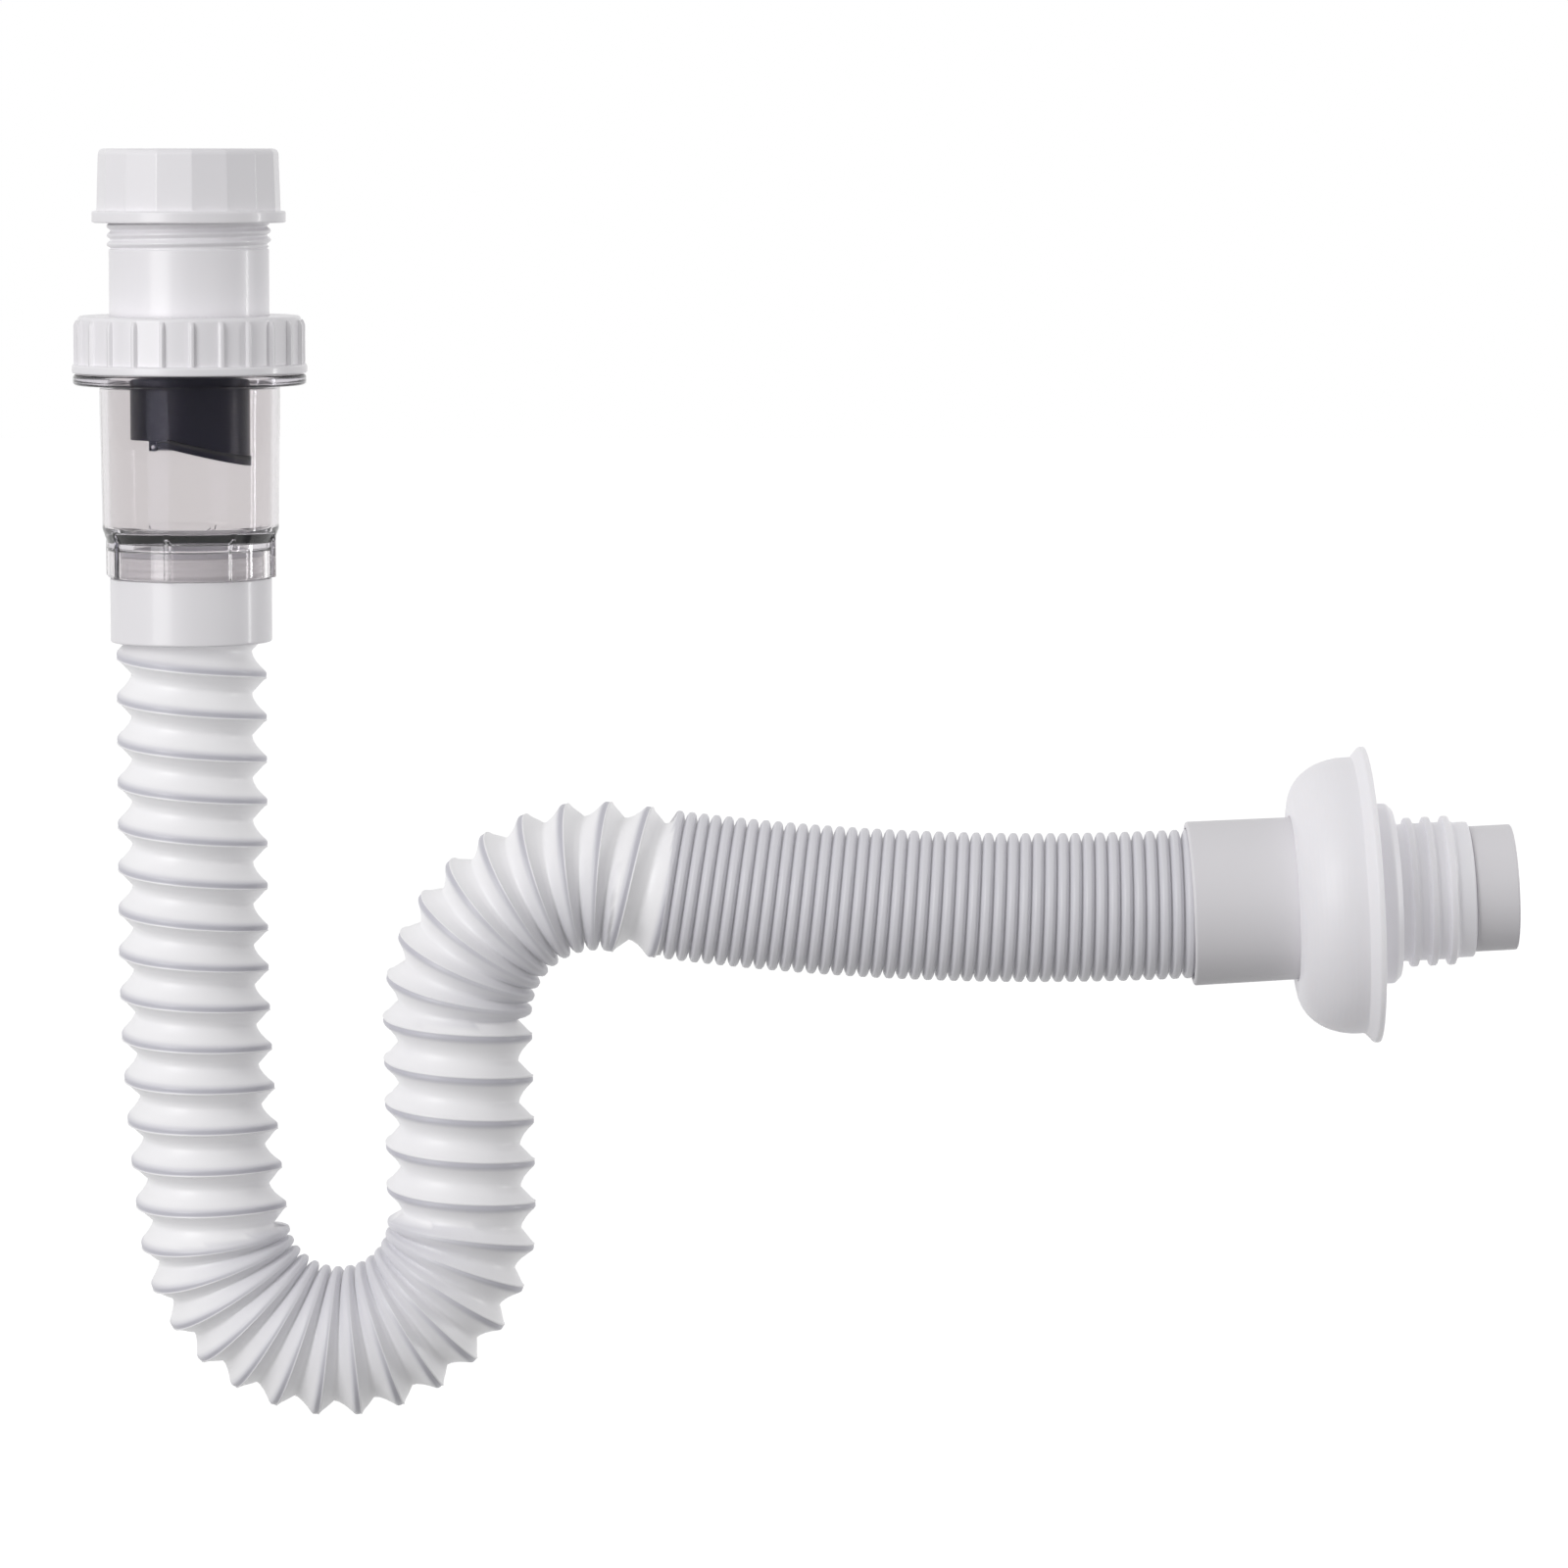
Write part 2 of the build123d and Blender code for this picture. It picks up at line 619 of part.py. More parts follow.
# Outlet, measured along its own axis from the end of the hose's arm
seal_step = OUTLET_CUFF_LENGTH + RUN_GAP
sleeve_from = seal_step + SEAL_END_WALL
sleeve_end = sleeve_from + SLEEVE_LENGTH
free_end_from = sleeve_end + RUN_GAP


def outlet_cuff():
    """The grey-white cuff on the hose's end, stepping down to the spigot that enters the drain."""
    end = OUTLET_CUFF_LENGTH + SPIGOT_LENGTH
    ledge = ARM_LEAD + COLLAR_HEIGHT
    spigot_bore_r = SPIGOT_R - SPIGOT_WALL
    cuff = turned([
        (cuff_recess_r, 0),
        (outlet_cuff_r, 0),
        (outlet_cuff_r - OUTLET_DRAFT_STEP, OUTLET_CUFF_LENGTH),
        (SPIGOT_R - SPIGOT_SEAT_STEP, OUTLET_CUFF_LENGTH),
        (SPIGOT_R - SPIGOT_SEAT_STEP, free_end_from),
        (SPIGOT_R, free_end_from),
        (SPIGOT_R, end - SPIGOT_CHAMFER),
        (SPIGOT_R - SPIGOT_CHAMFER, end),
        (spigot_bore_r, end),
        (spigot_bore_r, OUTLET_CUFF_LENGTH),
        (OUTLET_CUFF_BORE_R, OUTLET_CUFF_LENGTH - OUTLET_TAPER),
        (OUTLET_CUFF_BORE_R, ledge),
        (cuff_recess_r, ledge),
    ])
    return outlet_plane.location * cuff


def wall_seal():
    """The soft bell and its ribbed sleeve, hollow on the wall side, pushed over the cuff and spigot."""
    lip = seal_step - SEAL_SETBACK
    nose = lip - SEAL_BELL_DEPTH
    bore_r = outlet_cuff_r + SEAL_GAP / 2
    hub_r = bore_r + SEAL_HUB_WALL
    sleeve_bore_r = SPIGOT_R + SEAL_GAP
    sleeve_r = sleeve_bore_r + SLEEVE_WALL
    inner_bell_r = SEAL_BELL_R - SEAL_BELL_WALL
    hollow = nose + SEAL_BELL_WALL
    brow = lip - SEAL_SKIRT
    half = math.sqrt(0.5)

    def brow_arc(from_r, from_height, to_r):
        """The round of the bell between its nose and its skirt."""
        middle_r = from_r + (to_r - from_r) * half
        middle = brow - (brow - from_height) * half
        return Plane.XZ * ThreePointArc((from_r, from_height), (middle_r, middle), (to_r, brow))

    sleeve = [(hub_r, seal_step), (hub_r - SEAL_END_WALL, sleeve_from), (sleeve_r, sleeve_from)]
    for index in range(SLEEVE_RIBS):
        middle = sleeve_from + SLEEVE_RIB_LEAD + index * SLEEVE_RIB_PITCH
        sleeve += [
            (sleeve_r, middle - SLEEVE_RIB_WIDTH),
            (sleeve_r + SLEEVE_RIB_PROUD, middle - SLEEVE_RIB_WIDTH / 2),
            (sleeve_r + SLEEVE_RIB_PROUD, middle + SLEEVE_RIB_WIDTH / 2),
            (sleeve_r, middle + SLEEVE_RIB_WIDTH),
        ]
    sleeve += [
        (sleeve_r, sleeve_end - SLEEVE_END_LENGTH),
        (sleeve_r - SLEEVE_END_STEP, sleeve_end - SLEEVE_END_LENGTH),
        (sleeve_r - SLEEVE_END_STEP, sleeve_end),
        (sleeve_bore_r, sleeve_end),
        (sleeve_bore_r, seal_step),
        (bore_r, seal_step),
        (bore_r, nose),
        (SEAL_NOSE_R, nose),
    ]
    skirt = [
        (SEAL_BELL_R, brow),
        (SEAL_BELL_R, lip - SEAL_SKIRT / 2),
        (SEAL_LIP_R, lip - SEAL_LIP_HEIGHT / 2),
        (SEAL_LIP_R, lip + SEAL_LIP_HEIGHT / 2),
        (inner_bell_r, lip - SEAL_SKIRT / 2),
        (inner_bell_r, brow),
    ]
    outline = [
        brow_arc(SEAL_NOSE_R, nose, SEAL_BELL_R),
        Plane.XZ * Polyline(*skirt),
        brow_arc(SEAL_NOSE_R, hollow, inner_bell_r),
        Plane.XZ * Polyline((SEAL_NOSE_R, hollow), (hub_r, hollow), *sleeve),
    ]
    return outlet_plane.location * revolve(make_face(outline), Axis.Z)


PIECES = [
    inlet_nut,
    inlet_washer,
    inlet_tube,
    ring_nut,
    inlet_gasket,
    clear_cup,
    valve_core,
    flap,
    flap_seal,
    flap_pin,
    flap_spring,
    hose_cuff,
    cuff_gasket,
    hose,
    outlet_cuff,
    wall_seal,
]

os.makedirs("parts", exist_ok=True)
for piece in PIECES:
    export_step(piece(), f"parts/{piece.__name__}.step")
print("hose length", round(course.length, 1), "turns of the fold", round(course.turns, 1))
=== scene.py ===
# %% [markdown]
# # A flexible drain pipe
#
# The pipe hangs under a basin: a nut and a ribbed ring at the top, a clear cup with a dark flap valve,
# a white hose whose wall is one long spiral fold, and a soft seal where it enters the wall.
# The solids come in first and stay where they are. Every piece made below sits in the same frame, in
# metres, and takes its place from them. Outlines are written in millimetres, as on a drawing.

# %% The fixed frame
import json
import math

import bmesh
import bpy
import numpy as np
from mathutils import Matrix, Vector


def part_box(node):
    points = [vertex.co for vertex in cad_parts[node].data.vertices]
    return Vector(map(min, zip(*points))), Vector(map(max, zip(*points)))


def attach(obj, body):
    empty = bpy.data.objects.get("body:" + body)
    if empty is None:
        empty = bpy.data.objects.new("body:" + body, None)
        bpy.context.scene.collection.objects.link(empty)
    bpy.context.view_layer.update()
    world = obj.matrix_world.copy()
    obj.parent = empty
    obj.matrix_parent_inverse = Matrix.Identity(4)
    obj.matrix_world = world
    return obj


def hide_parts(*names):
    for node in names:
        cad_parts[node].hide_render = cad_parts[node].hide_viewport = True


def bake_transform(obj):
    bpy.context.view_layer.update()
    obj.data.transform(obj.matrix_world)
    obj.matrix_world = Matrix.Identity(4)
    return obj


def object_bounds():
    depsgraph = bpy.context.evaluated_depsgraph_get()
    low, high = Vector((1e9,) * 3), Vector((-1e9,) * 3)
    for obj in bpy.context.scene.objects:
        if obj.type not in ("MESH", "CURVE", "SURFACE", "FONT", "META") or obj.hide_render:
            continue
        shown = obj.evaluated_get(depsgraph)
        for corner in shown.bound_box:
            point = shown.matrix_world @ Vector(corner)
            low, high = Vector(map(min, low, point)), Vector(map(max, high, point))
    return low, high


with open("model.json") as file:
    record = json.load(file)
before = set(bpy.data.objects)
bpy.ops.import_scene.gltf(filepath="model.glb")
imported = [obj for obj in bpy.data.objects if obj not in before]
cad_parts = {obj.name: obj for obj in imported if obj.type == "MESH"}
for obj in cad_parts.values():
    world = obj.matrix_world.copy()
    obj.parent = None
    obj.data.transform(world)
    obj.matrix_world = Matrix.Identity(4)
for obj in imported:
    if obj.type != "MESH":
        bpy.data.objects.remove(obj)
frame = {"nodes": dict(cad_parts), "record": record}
cad_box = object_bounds()
nodes = frame["nodes"]
MM = 0.001


def brief(values):
    """Numbers rounded to four places, to print."""
    return [round(float(v), 4) for v in values]


print("solids", len(nodes), "box", [brief(corner) for corner in cad_box])

# %% [markdown]
# ## The camera
#
# The photograph looks almost straight at the pipe, from about the height of its inlet nut, through a
# long lens. A pixel covers a quarter of a millimetre at the pipe, so a pixel can be turned into a place
# in the pipe's own plane. The lens stands in front of one such place and points at another, a little
# above the picture's middle. Shifting the frame down takes in the rest. Tilting the camera down to the
# middle would do so too, but then upright lines would lean more.

# %% Photograph pixels to places, and the camera
PHOTO_SIDE = 1600
PIXEL = 0.25 * MM
INLET_AXIS_X = 197
NUT_TOP_Y = 152
EYE_X = 800
EYE_Y = 150
EYE_DISTANCE = 1.6
AIM_X = 800
AIM_Y = 606
LENS_PIXELS = 6436
FRAME_SHIFT = -0.12
SENSOR_WIDTH = 36.0

nut_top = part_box("inlet_nut")[1].z


def photo_place(x, y):
    """The place in the pipe's own plane that a pixel of the photograph shows."""
    return Vector(((x - INLET_AXIS_X) * PIXEL, 0, nut_top - (y - NUT_TOP_Y) * PIXEL))


def into_scene(name, data):
    """A new object in the scene, with its mesh, lamp or camera data."""
    made = bpy.data.objects.new(name, data)
    bpy.context.scene.collection.objects.link(made)
    return made


def look_from(thing, place, target):
    """Put a camera or a lamp at a place and point it at a target."""
    thing.location = place
    thing.rotation_mode = "QUATERNION"
    thing.rotation_quaternion = (target - thing.location).to_track_quat("-Z", "Y")


camera_data = bpy.data.cameras.new("camera")
camera_data.sensor_width = SENSOR_WIDTH
camera_data.lens = SENSOR_WIDTH * LENS_PIXELS / PHOTO_SIDE
camera_data.shift_y = FRAME_SHIFT
camera = into_scene("camera", camera_data)
eye = photo_place(EYE_X, EYE_Y) + Vector((0, -EYE_DISTANCE, 0))
look_from(camera, eye, photo_place(AIM_X, AIM_Y))
bpy.context.scene.camera = camera
print("lens", round(camera_data.lens, 1), "mm at", brief(camera.location))

# %% [markdown]
# ## Shader maths
#
# A finish is a small sum: a base value plus a little noise, or a mask times a depth. Written as Python
# operators, the sum reads like the formula it is. One class wraps a socket, and each operator on it adds
# the Math node that does the work. A second class adds every other kind of node through one method.

# %% Sockets that can be added and multiplied


class Wire:
    """A socket that takes part in sums. The other value of a sum is a number or a wire."""

    def __init__(self, finish, socket):
        self.finish = finish
        self.socket = socket

    def math(self, operation, other):
        """A Math node with this value first and the other second."""
        return self.finish.node("ShaderNodeMath", {"operation": operation}, {0: self, 1: other})

    def __add__(self, other):
        return self.math("ADD", other)

    def __mul__(self, other):
        return self.math("MULTIPLY", other)

    # A sum and a product don't depend on the order, so 2 + wire is wire + 2.
    __radd__ = __add__
    __rmul__ = __mul__

    def top(self, other):
        """The larger of the two."""
        return self.math("MAXIMUM", other)

    def over(self, level):
        """1 above a level and 0 below it."""
        return self.math("GREATER_THAN", level)


print("operators ready")

# %% Node trees, and colours as the picture shows them


class Finish:
    """A node tree, of a material or of the world, with one method that adds any node."""

    def __init__(self, owner):
        self.owner = owner
        owner.use_nodes = True
        self.tree = owner.node_tree
        self.tree.nodes.clear()

    def node(self, kind, settings=None, sockets=None, output=0):
        """Add a node, set it up, fill its sockets with values or links, and give one output."""
        made = self.tree.nodes.new(kind)
        for name, value in (settings or {}).items():
            setattr(made, name, value)
        for name, value in (sockets or {}).items():
            if isinstance(value, Wire):
                self.tree.links.new(value.socket, made.inputs[name])
            else:
                made.inputs[name].default_value = value
        return Wire(self, made.outputs[output]) if made.outputs else None

    def place(self):
        """The piece's own coordinates, in metres."""
        return self.node("ShaderNodeTexCoord", output="Object")

    def noise(self, scale, detail=2.0, stretch=(1, 1, 1)):
        """Noise on the piece's own coordinates, about 0 to 1, with scale in cycles a metre."""
        stretched = self.node("ShaderNodeMapping", None, {"Vector": self.place(), "Scale": stretch})
        sockets = {"Vector": stretched, "Scale": scale, "Detail": detail}
        return self.node("ShaderNodeTexNoise", None, sockets)

    def mix(self, factor, first, second):
        """A colour between two."""
        settings = {"data_type": "RGBA"}
        return self.node("ShaderNodeMix", settings, {0: factor, 6: first, 7: second}, 2)

    def bump(self, height, depth):
        """A normal from a height, with the depth in metres."""
        sockets = {"Height": height, "Distance": depth, "Strength": 1.0}
        return self.node("ShaderNodeBump", None, sockets)

    def principled(self, sockets):
        """A Principled shader with these values and links."""
        return self.node("ShaderNodeBsdfPrincipled", None, sockets)

    def surface(self, sockets):
        """Close the tree with one Principled shader."""
        self.node("ShaderNodeOutputMaterial", None, {"Surface": self.principled(sockets)})
        return self.owner


def rgb(red, green, blue):
    """A colour written as the picture shows it, 0 to 255, turned into the renderer's linear light."""
    shown = np.array([red, green, blue]) / 255
    linear = np.where(shown <= 0.04045, shown / 12.92, ((shown + 0.055) / 1.055) ** 2.4)
    return (*[float(v) for v in linear], 1.0)


print("mid grey in linear light", brief(rgb(128, 128, 128)))

# %% [markdown]
# ## Moulded plastics
#
# The nuts, the inlet and the cuff are injection-moulded white plastic: smooth, glossy, with a faint
# unevenness that breaks a reflection. The outlet cuff is the same resin, greyer and duller. The core
# inside the cup is nearly black. One flat colour would look like paint, so broad noise mixes two close
# colours, and fine noise roughens the skin.

# %% White, grey and dark plastics
SKIN_DEPTH = 0.006 * MM


def moulded_plastic(name, light, shade, roughness, coat, gloss=0.5):
    """Moulded plastic: two close colours mixed by broad noise, uneven roughness and a fine skin."""
    finish = Finish(bpy.data.materials.new(name))
    cloud = finish.noise(35.0)
    skin = finish.noise(700.0, detail=3.0)
    return finish.surface({
        "Base Color": finish.mix(cloud, light, shade),
        "Roughness": roughness + 0.08 * cloud + 0.05 * skin,
        "Specular IOR Level": gloss,
        "Coat Weight": coat,
        "Coat Roughness": 0.12,
        "Normal": finish.bump(skin, SKIN_DEPTH),
    })


white_plastic = moulded_plastic(
    "white_plastic", rgb(243, 241, 244), rgb(238, 236, 240), roughness=0.30, coat=0.25)
grey_plastic = moulded_plastic(
    "grey_white_plastic", rgb(236, 234, 237), rgb(230, 228, 232), roughness=0.42, coat=0.05)
navy_plastic = moulded_plastic(
    "navy_plastic", rgb(24, 24, 42), rgb(18, 18, 34), roughness=0.26, coat=0.0, gloss=0.2)
print("plastics", [m.name for m in (white_plastic, grey_plastic, navy_plastic)])

# %% [markdown]
# ## Clear and blown plastic
#
# The cup is clear, and a little violet where it is thick, which a volume that takes up some light gives.
# Full reflections on both sides of the chamber's wall would veil the dark core inside, so they are faint
# there. The thick foot keeps them, because light only finds its way out of its corners by reflection.
# The hose is blown into its mould, so it is a little duller. Its thin flanks let some light through, and
# a faint painted glow stands for that, because the mesh is thicker than the real wall. The ridge
# of the fold and the shut beads carry painted shade, greyer as if in shadow, and the mesh says where it is.

# %% Clear plastic and hose plastic
FOOT_TOP = -88.8 * MM


def clear_plastic_finish():
    """Clear plastic: below the top of the foot one shader, and above it the same with faint reflections."""
    finish = Finish(bpy.data.materials.new("clear_plastic"))
    ripple = finish.noise(90.0, detail=1.0, stretch=(1, 1, 0.4))
    clear = {
        "Base Color": rgb(228, 225, 225),
        "Roughness": 0.02 + 0.04 * ripple,
        "IOR": 1.49,
        "Transmission Weight": 1.0,
        "Normal": finish.bump(ripple, 0.02 * MM),
    }
    foot = finish.principled(clear)
    chamber = finish.principled({**clear, "Specular Tint": (0.12, 0.12, 0.15, 1.0)})
    height = finish.node("ShaderNodeSeparateXYZ", None, {"Vector": finish.place()}, "Z")
    whole = finish.node("ShaderNodeMixShader", None, {0: height.over(FOOT_TOP), 1: foot, 2: chamber})
    violet = {"Color": rgb(188, 184, 208), "Density": 18.0}
    tint = finish.node("ShaderNodeVolumeAbsorption", None, violet)
    finish.node("ShaderNodeOutputMaterial", None, {"Surface": whole, "Volume": tint})
    return finish.owner


def hose_finish():
    """Blown plastic: flanks with a painted glow, and painted shade on the ridge where the mesh marks it."""
    finish = Finish(bpy.data.materials.new("hose_plastic"))
    cloud = finish.noise(35.0)
    skin = finish.noise(600.0, detail=3.0)
    # The ridge attribute is painted shade: near 1 on the ridge band and the shut beads, as if in shadow.
    ridge = finish.node("ShaderNodeAttribute", {"attribute_name": "ridge"}, None, "Fac")
    flank = finish.mix(cloud, rgb(239, 238, 240), rgb(234, 233, 235))
    return finish.surface({
        # Painted shade: where the ridge attribute is high the colour goes to a greyer lavender.
        "Base Color": finish.mix(ridge, flank, rgb(204, 203, 212)),
        "Roughness": 0.34 + 0.08 * cloud + 0.05 * skin,
        "Coat Weight": 0.10,
        "Coat Roughness": 0.15,
        "Emission Color": finish.mix(ridge, rgb(238, 238, 239), rgb(0, 0, 0)),
        "Emission Strength": 0.12,
        "Normal": finish.bump(skin, SKIN_DEPTH),
    })


clear_plastic = clear_plastic_finish()
hose_plastic = hose_finish()
print("thin plastics", [m.name for m in (clear_plastic, hose_plastic)])

# %% [markdown]
# ## Rubber, silicone and steel
#
# The washers and the flap's facing are black rubber. The ring in the cup's socket is a paler rubber, of
# which only thin lines show through the clear wall. The wall seal is milky silicone that lets light in
# under its surface. The flap's pin and spring are drawn steel wire.

# %% Rubber, silicone and steel


def rubber_finish(name, light, shade):
    """Rubber: dull, with a fine sandy skin."""
    finish = Finish(bpy.data.materials.new(name))
    sand = finish.noise(1500.0, detail=3.0)
    return finish.surface({
        "Base Color": finish.mix(sand, light, shade),
        "Roughness": 0.6 + 0.2 * sand,
        "Normal": finish.bump(sand, 0.02 * MM),
    })


def silicone_finish():
    """Milky silicone: light spreads under its skin, and a faint glow stands for light from behind."""
    finish = Finish(bpy.data.materials.new("milky_silicone"))
    cloud = finish.noise(25.0)
    skin = finish.noise(500.0, detail=3.0)
    return finish.surface({
        "Base Color": finish.mix(cloud, rgb(228, 227, 230), rgb(223, 222, 225)),
        "Roughness": 0.38 + 0.10 * cloud,
        "Subsurface Weight": 0.4,
        "Subsurface Radius": (0.004, 0.0037, 0.0035),
        "Subsurface Scale": 1.0,
        "Emission Color": rgb(238, 236, 242),
        "Emission Strength": 0.17,
        "Normal": finish.bump(skin, 0.008 * MM),
    })


def steel_finish():
    """Drawn steel wire, with fine scratches along it."""
    finish = Finish(bpy.data.materials.new("steel"))
    drawn = finish.noise(2500.0, stretch=(1, 0.1, 1))
    return finish.surface({
        "Base Color": finish.mix(drawn, rgb(196, 196, 200), rgb(172, 172, 178)),
        "Metallic": 1.0,
        "Roughness": 0.2 + 0.15 * drawn,
    })


black_rubber = rubber_finish("black_rubber", rgb(52, 52, 54), rgb(38, 38, 40))
worn_rubber = rubber_finish("worn_rubber", rgb(206, 204, 212), rgb(196, 194, 202))
milky_silicone = silicone_finish()
steel = steel_finish()
print("soft finishes and steel", [m.name for m in (black_rubber, worn_rubber, milky_silicone, steel)])

# %% [markdown]
# ## From a grid of points to a piece
#
# Every piece here is a surface over two parameters. A turned piece is an outline carried round an axis:
# rows follow the outline, columns follow the angle. The outline is a list of corners, each with the
# radius of its rounding, because moulded plastic has no sharp edges and the little rounds catch the
# light. A Bevel modifier could round them too, but here each corner's radius stands beside it. Angles are
# turned from +X towards +Y, so the front is at -90 degrees.

# %% Rounded outlines
HOLD = 0.12
ROUND_STEPS = 5
NEARLY_STRAIGHT = math.radians(89.5)
LONGEST_CUT = 0.45


def rounded(corners, step=6.0):
    """A closed outline from (radius, height, rounding) corners, in millimetres.

    A corner is cut back by rounding / tan(half its angle) on both sides and an arc joins the cuts.
    Long straight stretches are divided, with a close point beside each arc to keep flats flat.
    """
    corners = np.array(corners, float)
    points, rounding = corners[:, :2], corners[:, 2]
    ends = []
    for before, here, after, r in zip(np.roll(points, 1, 0), points, np.roll(points, -1, 0), rounding):
        back, ahead = before - here, after - here
        back_length, ahead_length = np.linalg.norm(back), np.linalg.norm(ahead)
        back, ahead = back / back_length, ahead / ahead_length
        half = math.acos(np.clip(back @ ahead, -1, 1)) / 2
        if r == 0 or half > NEARLY_STRAIGHT:
            ends.append(here[None, :])
            continue
        cut = min(r / math.tan(half), LONGEST_CUT * back_length, LONGEST_CUT * ahead_length)
        r = cut * math.tan(half)
        centre = here + (back + ahead) / np.linalg.norm(back + ahead) * r / math.sin(half)
        first, last = here + back * cut - centre, here + ahead * cut - centre
        sweep = math.pi - 2 * half
        share = np.linspace(0, 1, ROUND_STEPS)[:, None]
        arc = (np.sin((1 - share) * sweep) * first + np.sin(share * sweep) * last) / math.sin(sweep)
        ends.append(centre + arc)
    outline = []
    for arc, following in zip(ends, ends[1:] + ends[:1]):
        run = following[0] - arc[-1]
        length = np.linalg.norm(run)
        shares = np.linspace(0, 1, max(2, math.ceil(length / step) + 1))[1:-1]
        if length > 4 * HOLD:
            shares = np.concatenate([[HOLD / length], shares, [1 - HOLD / length]])
        outline += [arc, arc[-1] + shares[:, None] * run]
    return np.concatenate(outline)


print("points of a rounded square", len(rounded([(1, 0, 0.2), (2, 0, 0.2), (2, 1, 0.2), (1, 1, 0.2)])))

# %% Angles, turned grids and faces
FRONT = -90


def even_angles(count):
    """Angles all round, in radians."""
    return np.linspace(0, 2 * math.pi, count, endpoint=False)


def repeated_angles(count, turn, offsets):
    """The same offsets about each of a number of even angles, the first of them at turn."""
    return (turn + np.arange(count)[:, None] * 2 * math.pi / count + offsets).ravel()


def off_nearest(angle, count, turn):
    """How far an angle is from the nearest of a number of even angles, the first of them at turn."""
    spacing = 2 * math.pi / count
    return np.abs(np.mod(angle - turn + spacing / 2, spacing) - spacing / 2)


def ease(value, low, high):
    """0 below low, 1 above high, and 3t^2 - 2t^3 between them."""
    t = np.clip((value - low) / (high - low), 0, 1)
    return t * t * (3 - 2 * t)


def turned_grid(outline, angles, reach=None):
    """Rows along the outline, columns round Z: (r cos a, r sin a, z), with r changed by reach(r, z, a)."""
    r, z, a = outline[:, 0, None], outline[:, 1, None], angles[None, :]
    if reach is not None:
        r = reach(r, z, a)
    r, z, a = np.broadcast_arrays(r, z, a)
    return np.stack([r * np.cos(a), r * np.sin(a), z], -1) * MM


def quads_of(ids):
    """Four-cornered faces between neighbouring rows and columns of a grid of vertex numbers."""
    return np.stack([ids[:-1, :-1], ids[1:, :-1], ids[1:, 1:], ids[:-1, 1:]], -1).reshape(-1, 4)


def closed_ids(rows, columns):
    """Vertex numbers of a grid that closes both ways, with its first row and column repeated last."""
    ids = np.arange(rows * columns).reshape(rows, columns)
    return np.pad(ids, ((0, 1), (0, 1)), mode="wrap")


print("faces of a closed grid of 3 by 4", len(quads_of(closed_ids(3, 4))))

# %% Pieces, and the solids that they stand for


def enclosed(points, quads):
    """Volume inside the faces: the sum of the small pyramids from the origin, negative if inside out."""
    a, b, c, d = (points[quads[:, k]] for k in range(4))
    six_times = np.einsum("ij,ij->i", a, np.cross(b, c)) + np.einsum("ij,ij->i", a, np.cross(c, d))
    return six_times.sum() / 6


def make_piece(name, points, quads, material):
    """A smooth mesh object from points and faces, turned right side out."""
    if enclosed(points, quads) < 0:
        quads = quads[:, ::-1]
    mesh = bpy.data.meshes.new(name)
    mesh.from_pydata(points.tolist(), [], quads.tolist())
    mesh.shade_smooth()
    mesh.materials.append(material)
    volume = enclosed(points, quads) / MM**3 / 1000
    print(name, "triangles", 2 * len(quads), "volume", round(volume, 2), "cm3")
    return into_scene(name, mesh)


def turned_piece(name, outline, angles, material, reach=None, place=None):
    """A turned piece from its outline, set on its own axis by place if it has one."""
    grid = turned_grid(outline, angles, reach)
    points = grid.reshape(-1, 3)
    if place is not None:
        points = place(points)
    return make_piece(name, points, quads_of(closed_ids(*grid.shape[:2])), material)


def stand_for(piece, node, body):
    """The piece takes the place of a solid: it moves with its body and has its finish."""
    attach(piece, body)
    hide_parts(node)


print("piece helpers ready")

# %% [markdown]
# ## The hose
#
# The hose is blown as one tube with one long fold that winds round it like a screw thread. Pulled open,
# the fold is a broad wave: a rounded ridge with a fine raised line just past it, a nearly straight flank
# down to the valley, and a hollow flank up to the next ridge. Pushed shut, along the arm and on the inside
# of a bend, only fat round beads show. A texture couldn't give that outline, so the fold is real geometry.
# Rows of the grid follow the ridge itself round the tube, so the ridge and its line stay crisp.

# %% The course of the hose
HOSE_TOP_Z = -109.05
RIDGE_R = 19.0
FOLD_MID_R = 17.15
OPEN_PITCH = 10.8
SHUT_PITCH = 3.24
FOLD_LEAD = 9.0
DROP = 72.6
SWAY_R = 627.0
SWAY_TURN = 7.3
TRAP_R = 31.7
TRAP_TURN = 173.7
RISE = 51.2
CROWN_R = 35.8
CROWN_TURN = 99.3
ARM_R = 741.5
ARM_OPEN_TURN = 1.0
ARM_SHUT_TURN = 10.3
ARM_LEAD = 5.0


def bend(radius, turn, pitch=None):
    """One arc as (length, turn in degrees, pitch); without a pitch, its outer side is fully open."""
    open_outside = OPEN_PITCH / (1 + FOLD_MID_R / radius)
    return radius * math.radians(abs(turn)), turn, pitch or open_outside


STRETCHES = [
    (FOLD_LEAD + DROP, 0, OPEN_PITCH),
    bend(SWAY_R, SWAY_TURN),
    bend(TRAP_R, TRAP_TURN),
    (RISE, 0, OPEN_PITCH),
    bend(CROWN_R, -CROWN_TURN),
    bend(ARM_R, ARM_OPEN_TURN),
    bend(ARM_R, ARM_SHUT_TURN, SHUT_PITCH),
    (ARM_LEAD, 0, SHUT_PITCH),
]
SHUT_STRETCH = 6

spans = np.array([row[0] for row in STRETCHES])
curls = np.radians([row[1] for row in STRETCHES]) / spans
pitches = np.array([row[2] for row in STRETCHES])
starts = np.concatenate([[0], np.cumsum(spans)])
headings = np.concatenate([[0], np.cumsum(curls * spans)])
turns = np.concatenate([[0], np.cumsum(spans / pitches)]) - FOLD_LEAD / OPEN_PITCH
print("hose", round(starts[-1], 1), "mm long with", round(turns[-1] - turns[0], 1), "turns of the fold")

# %% Places along the course


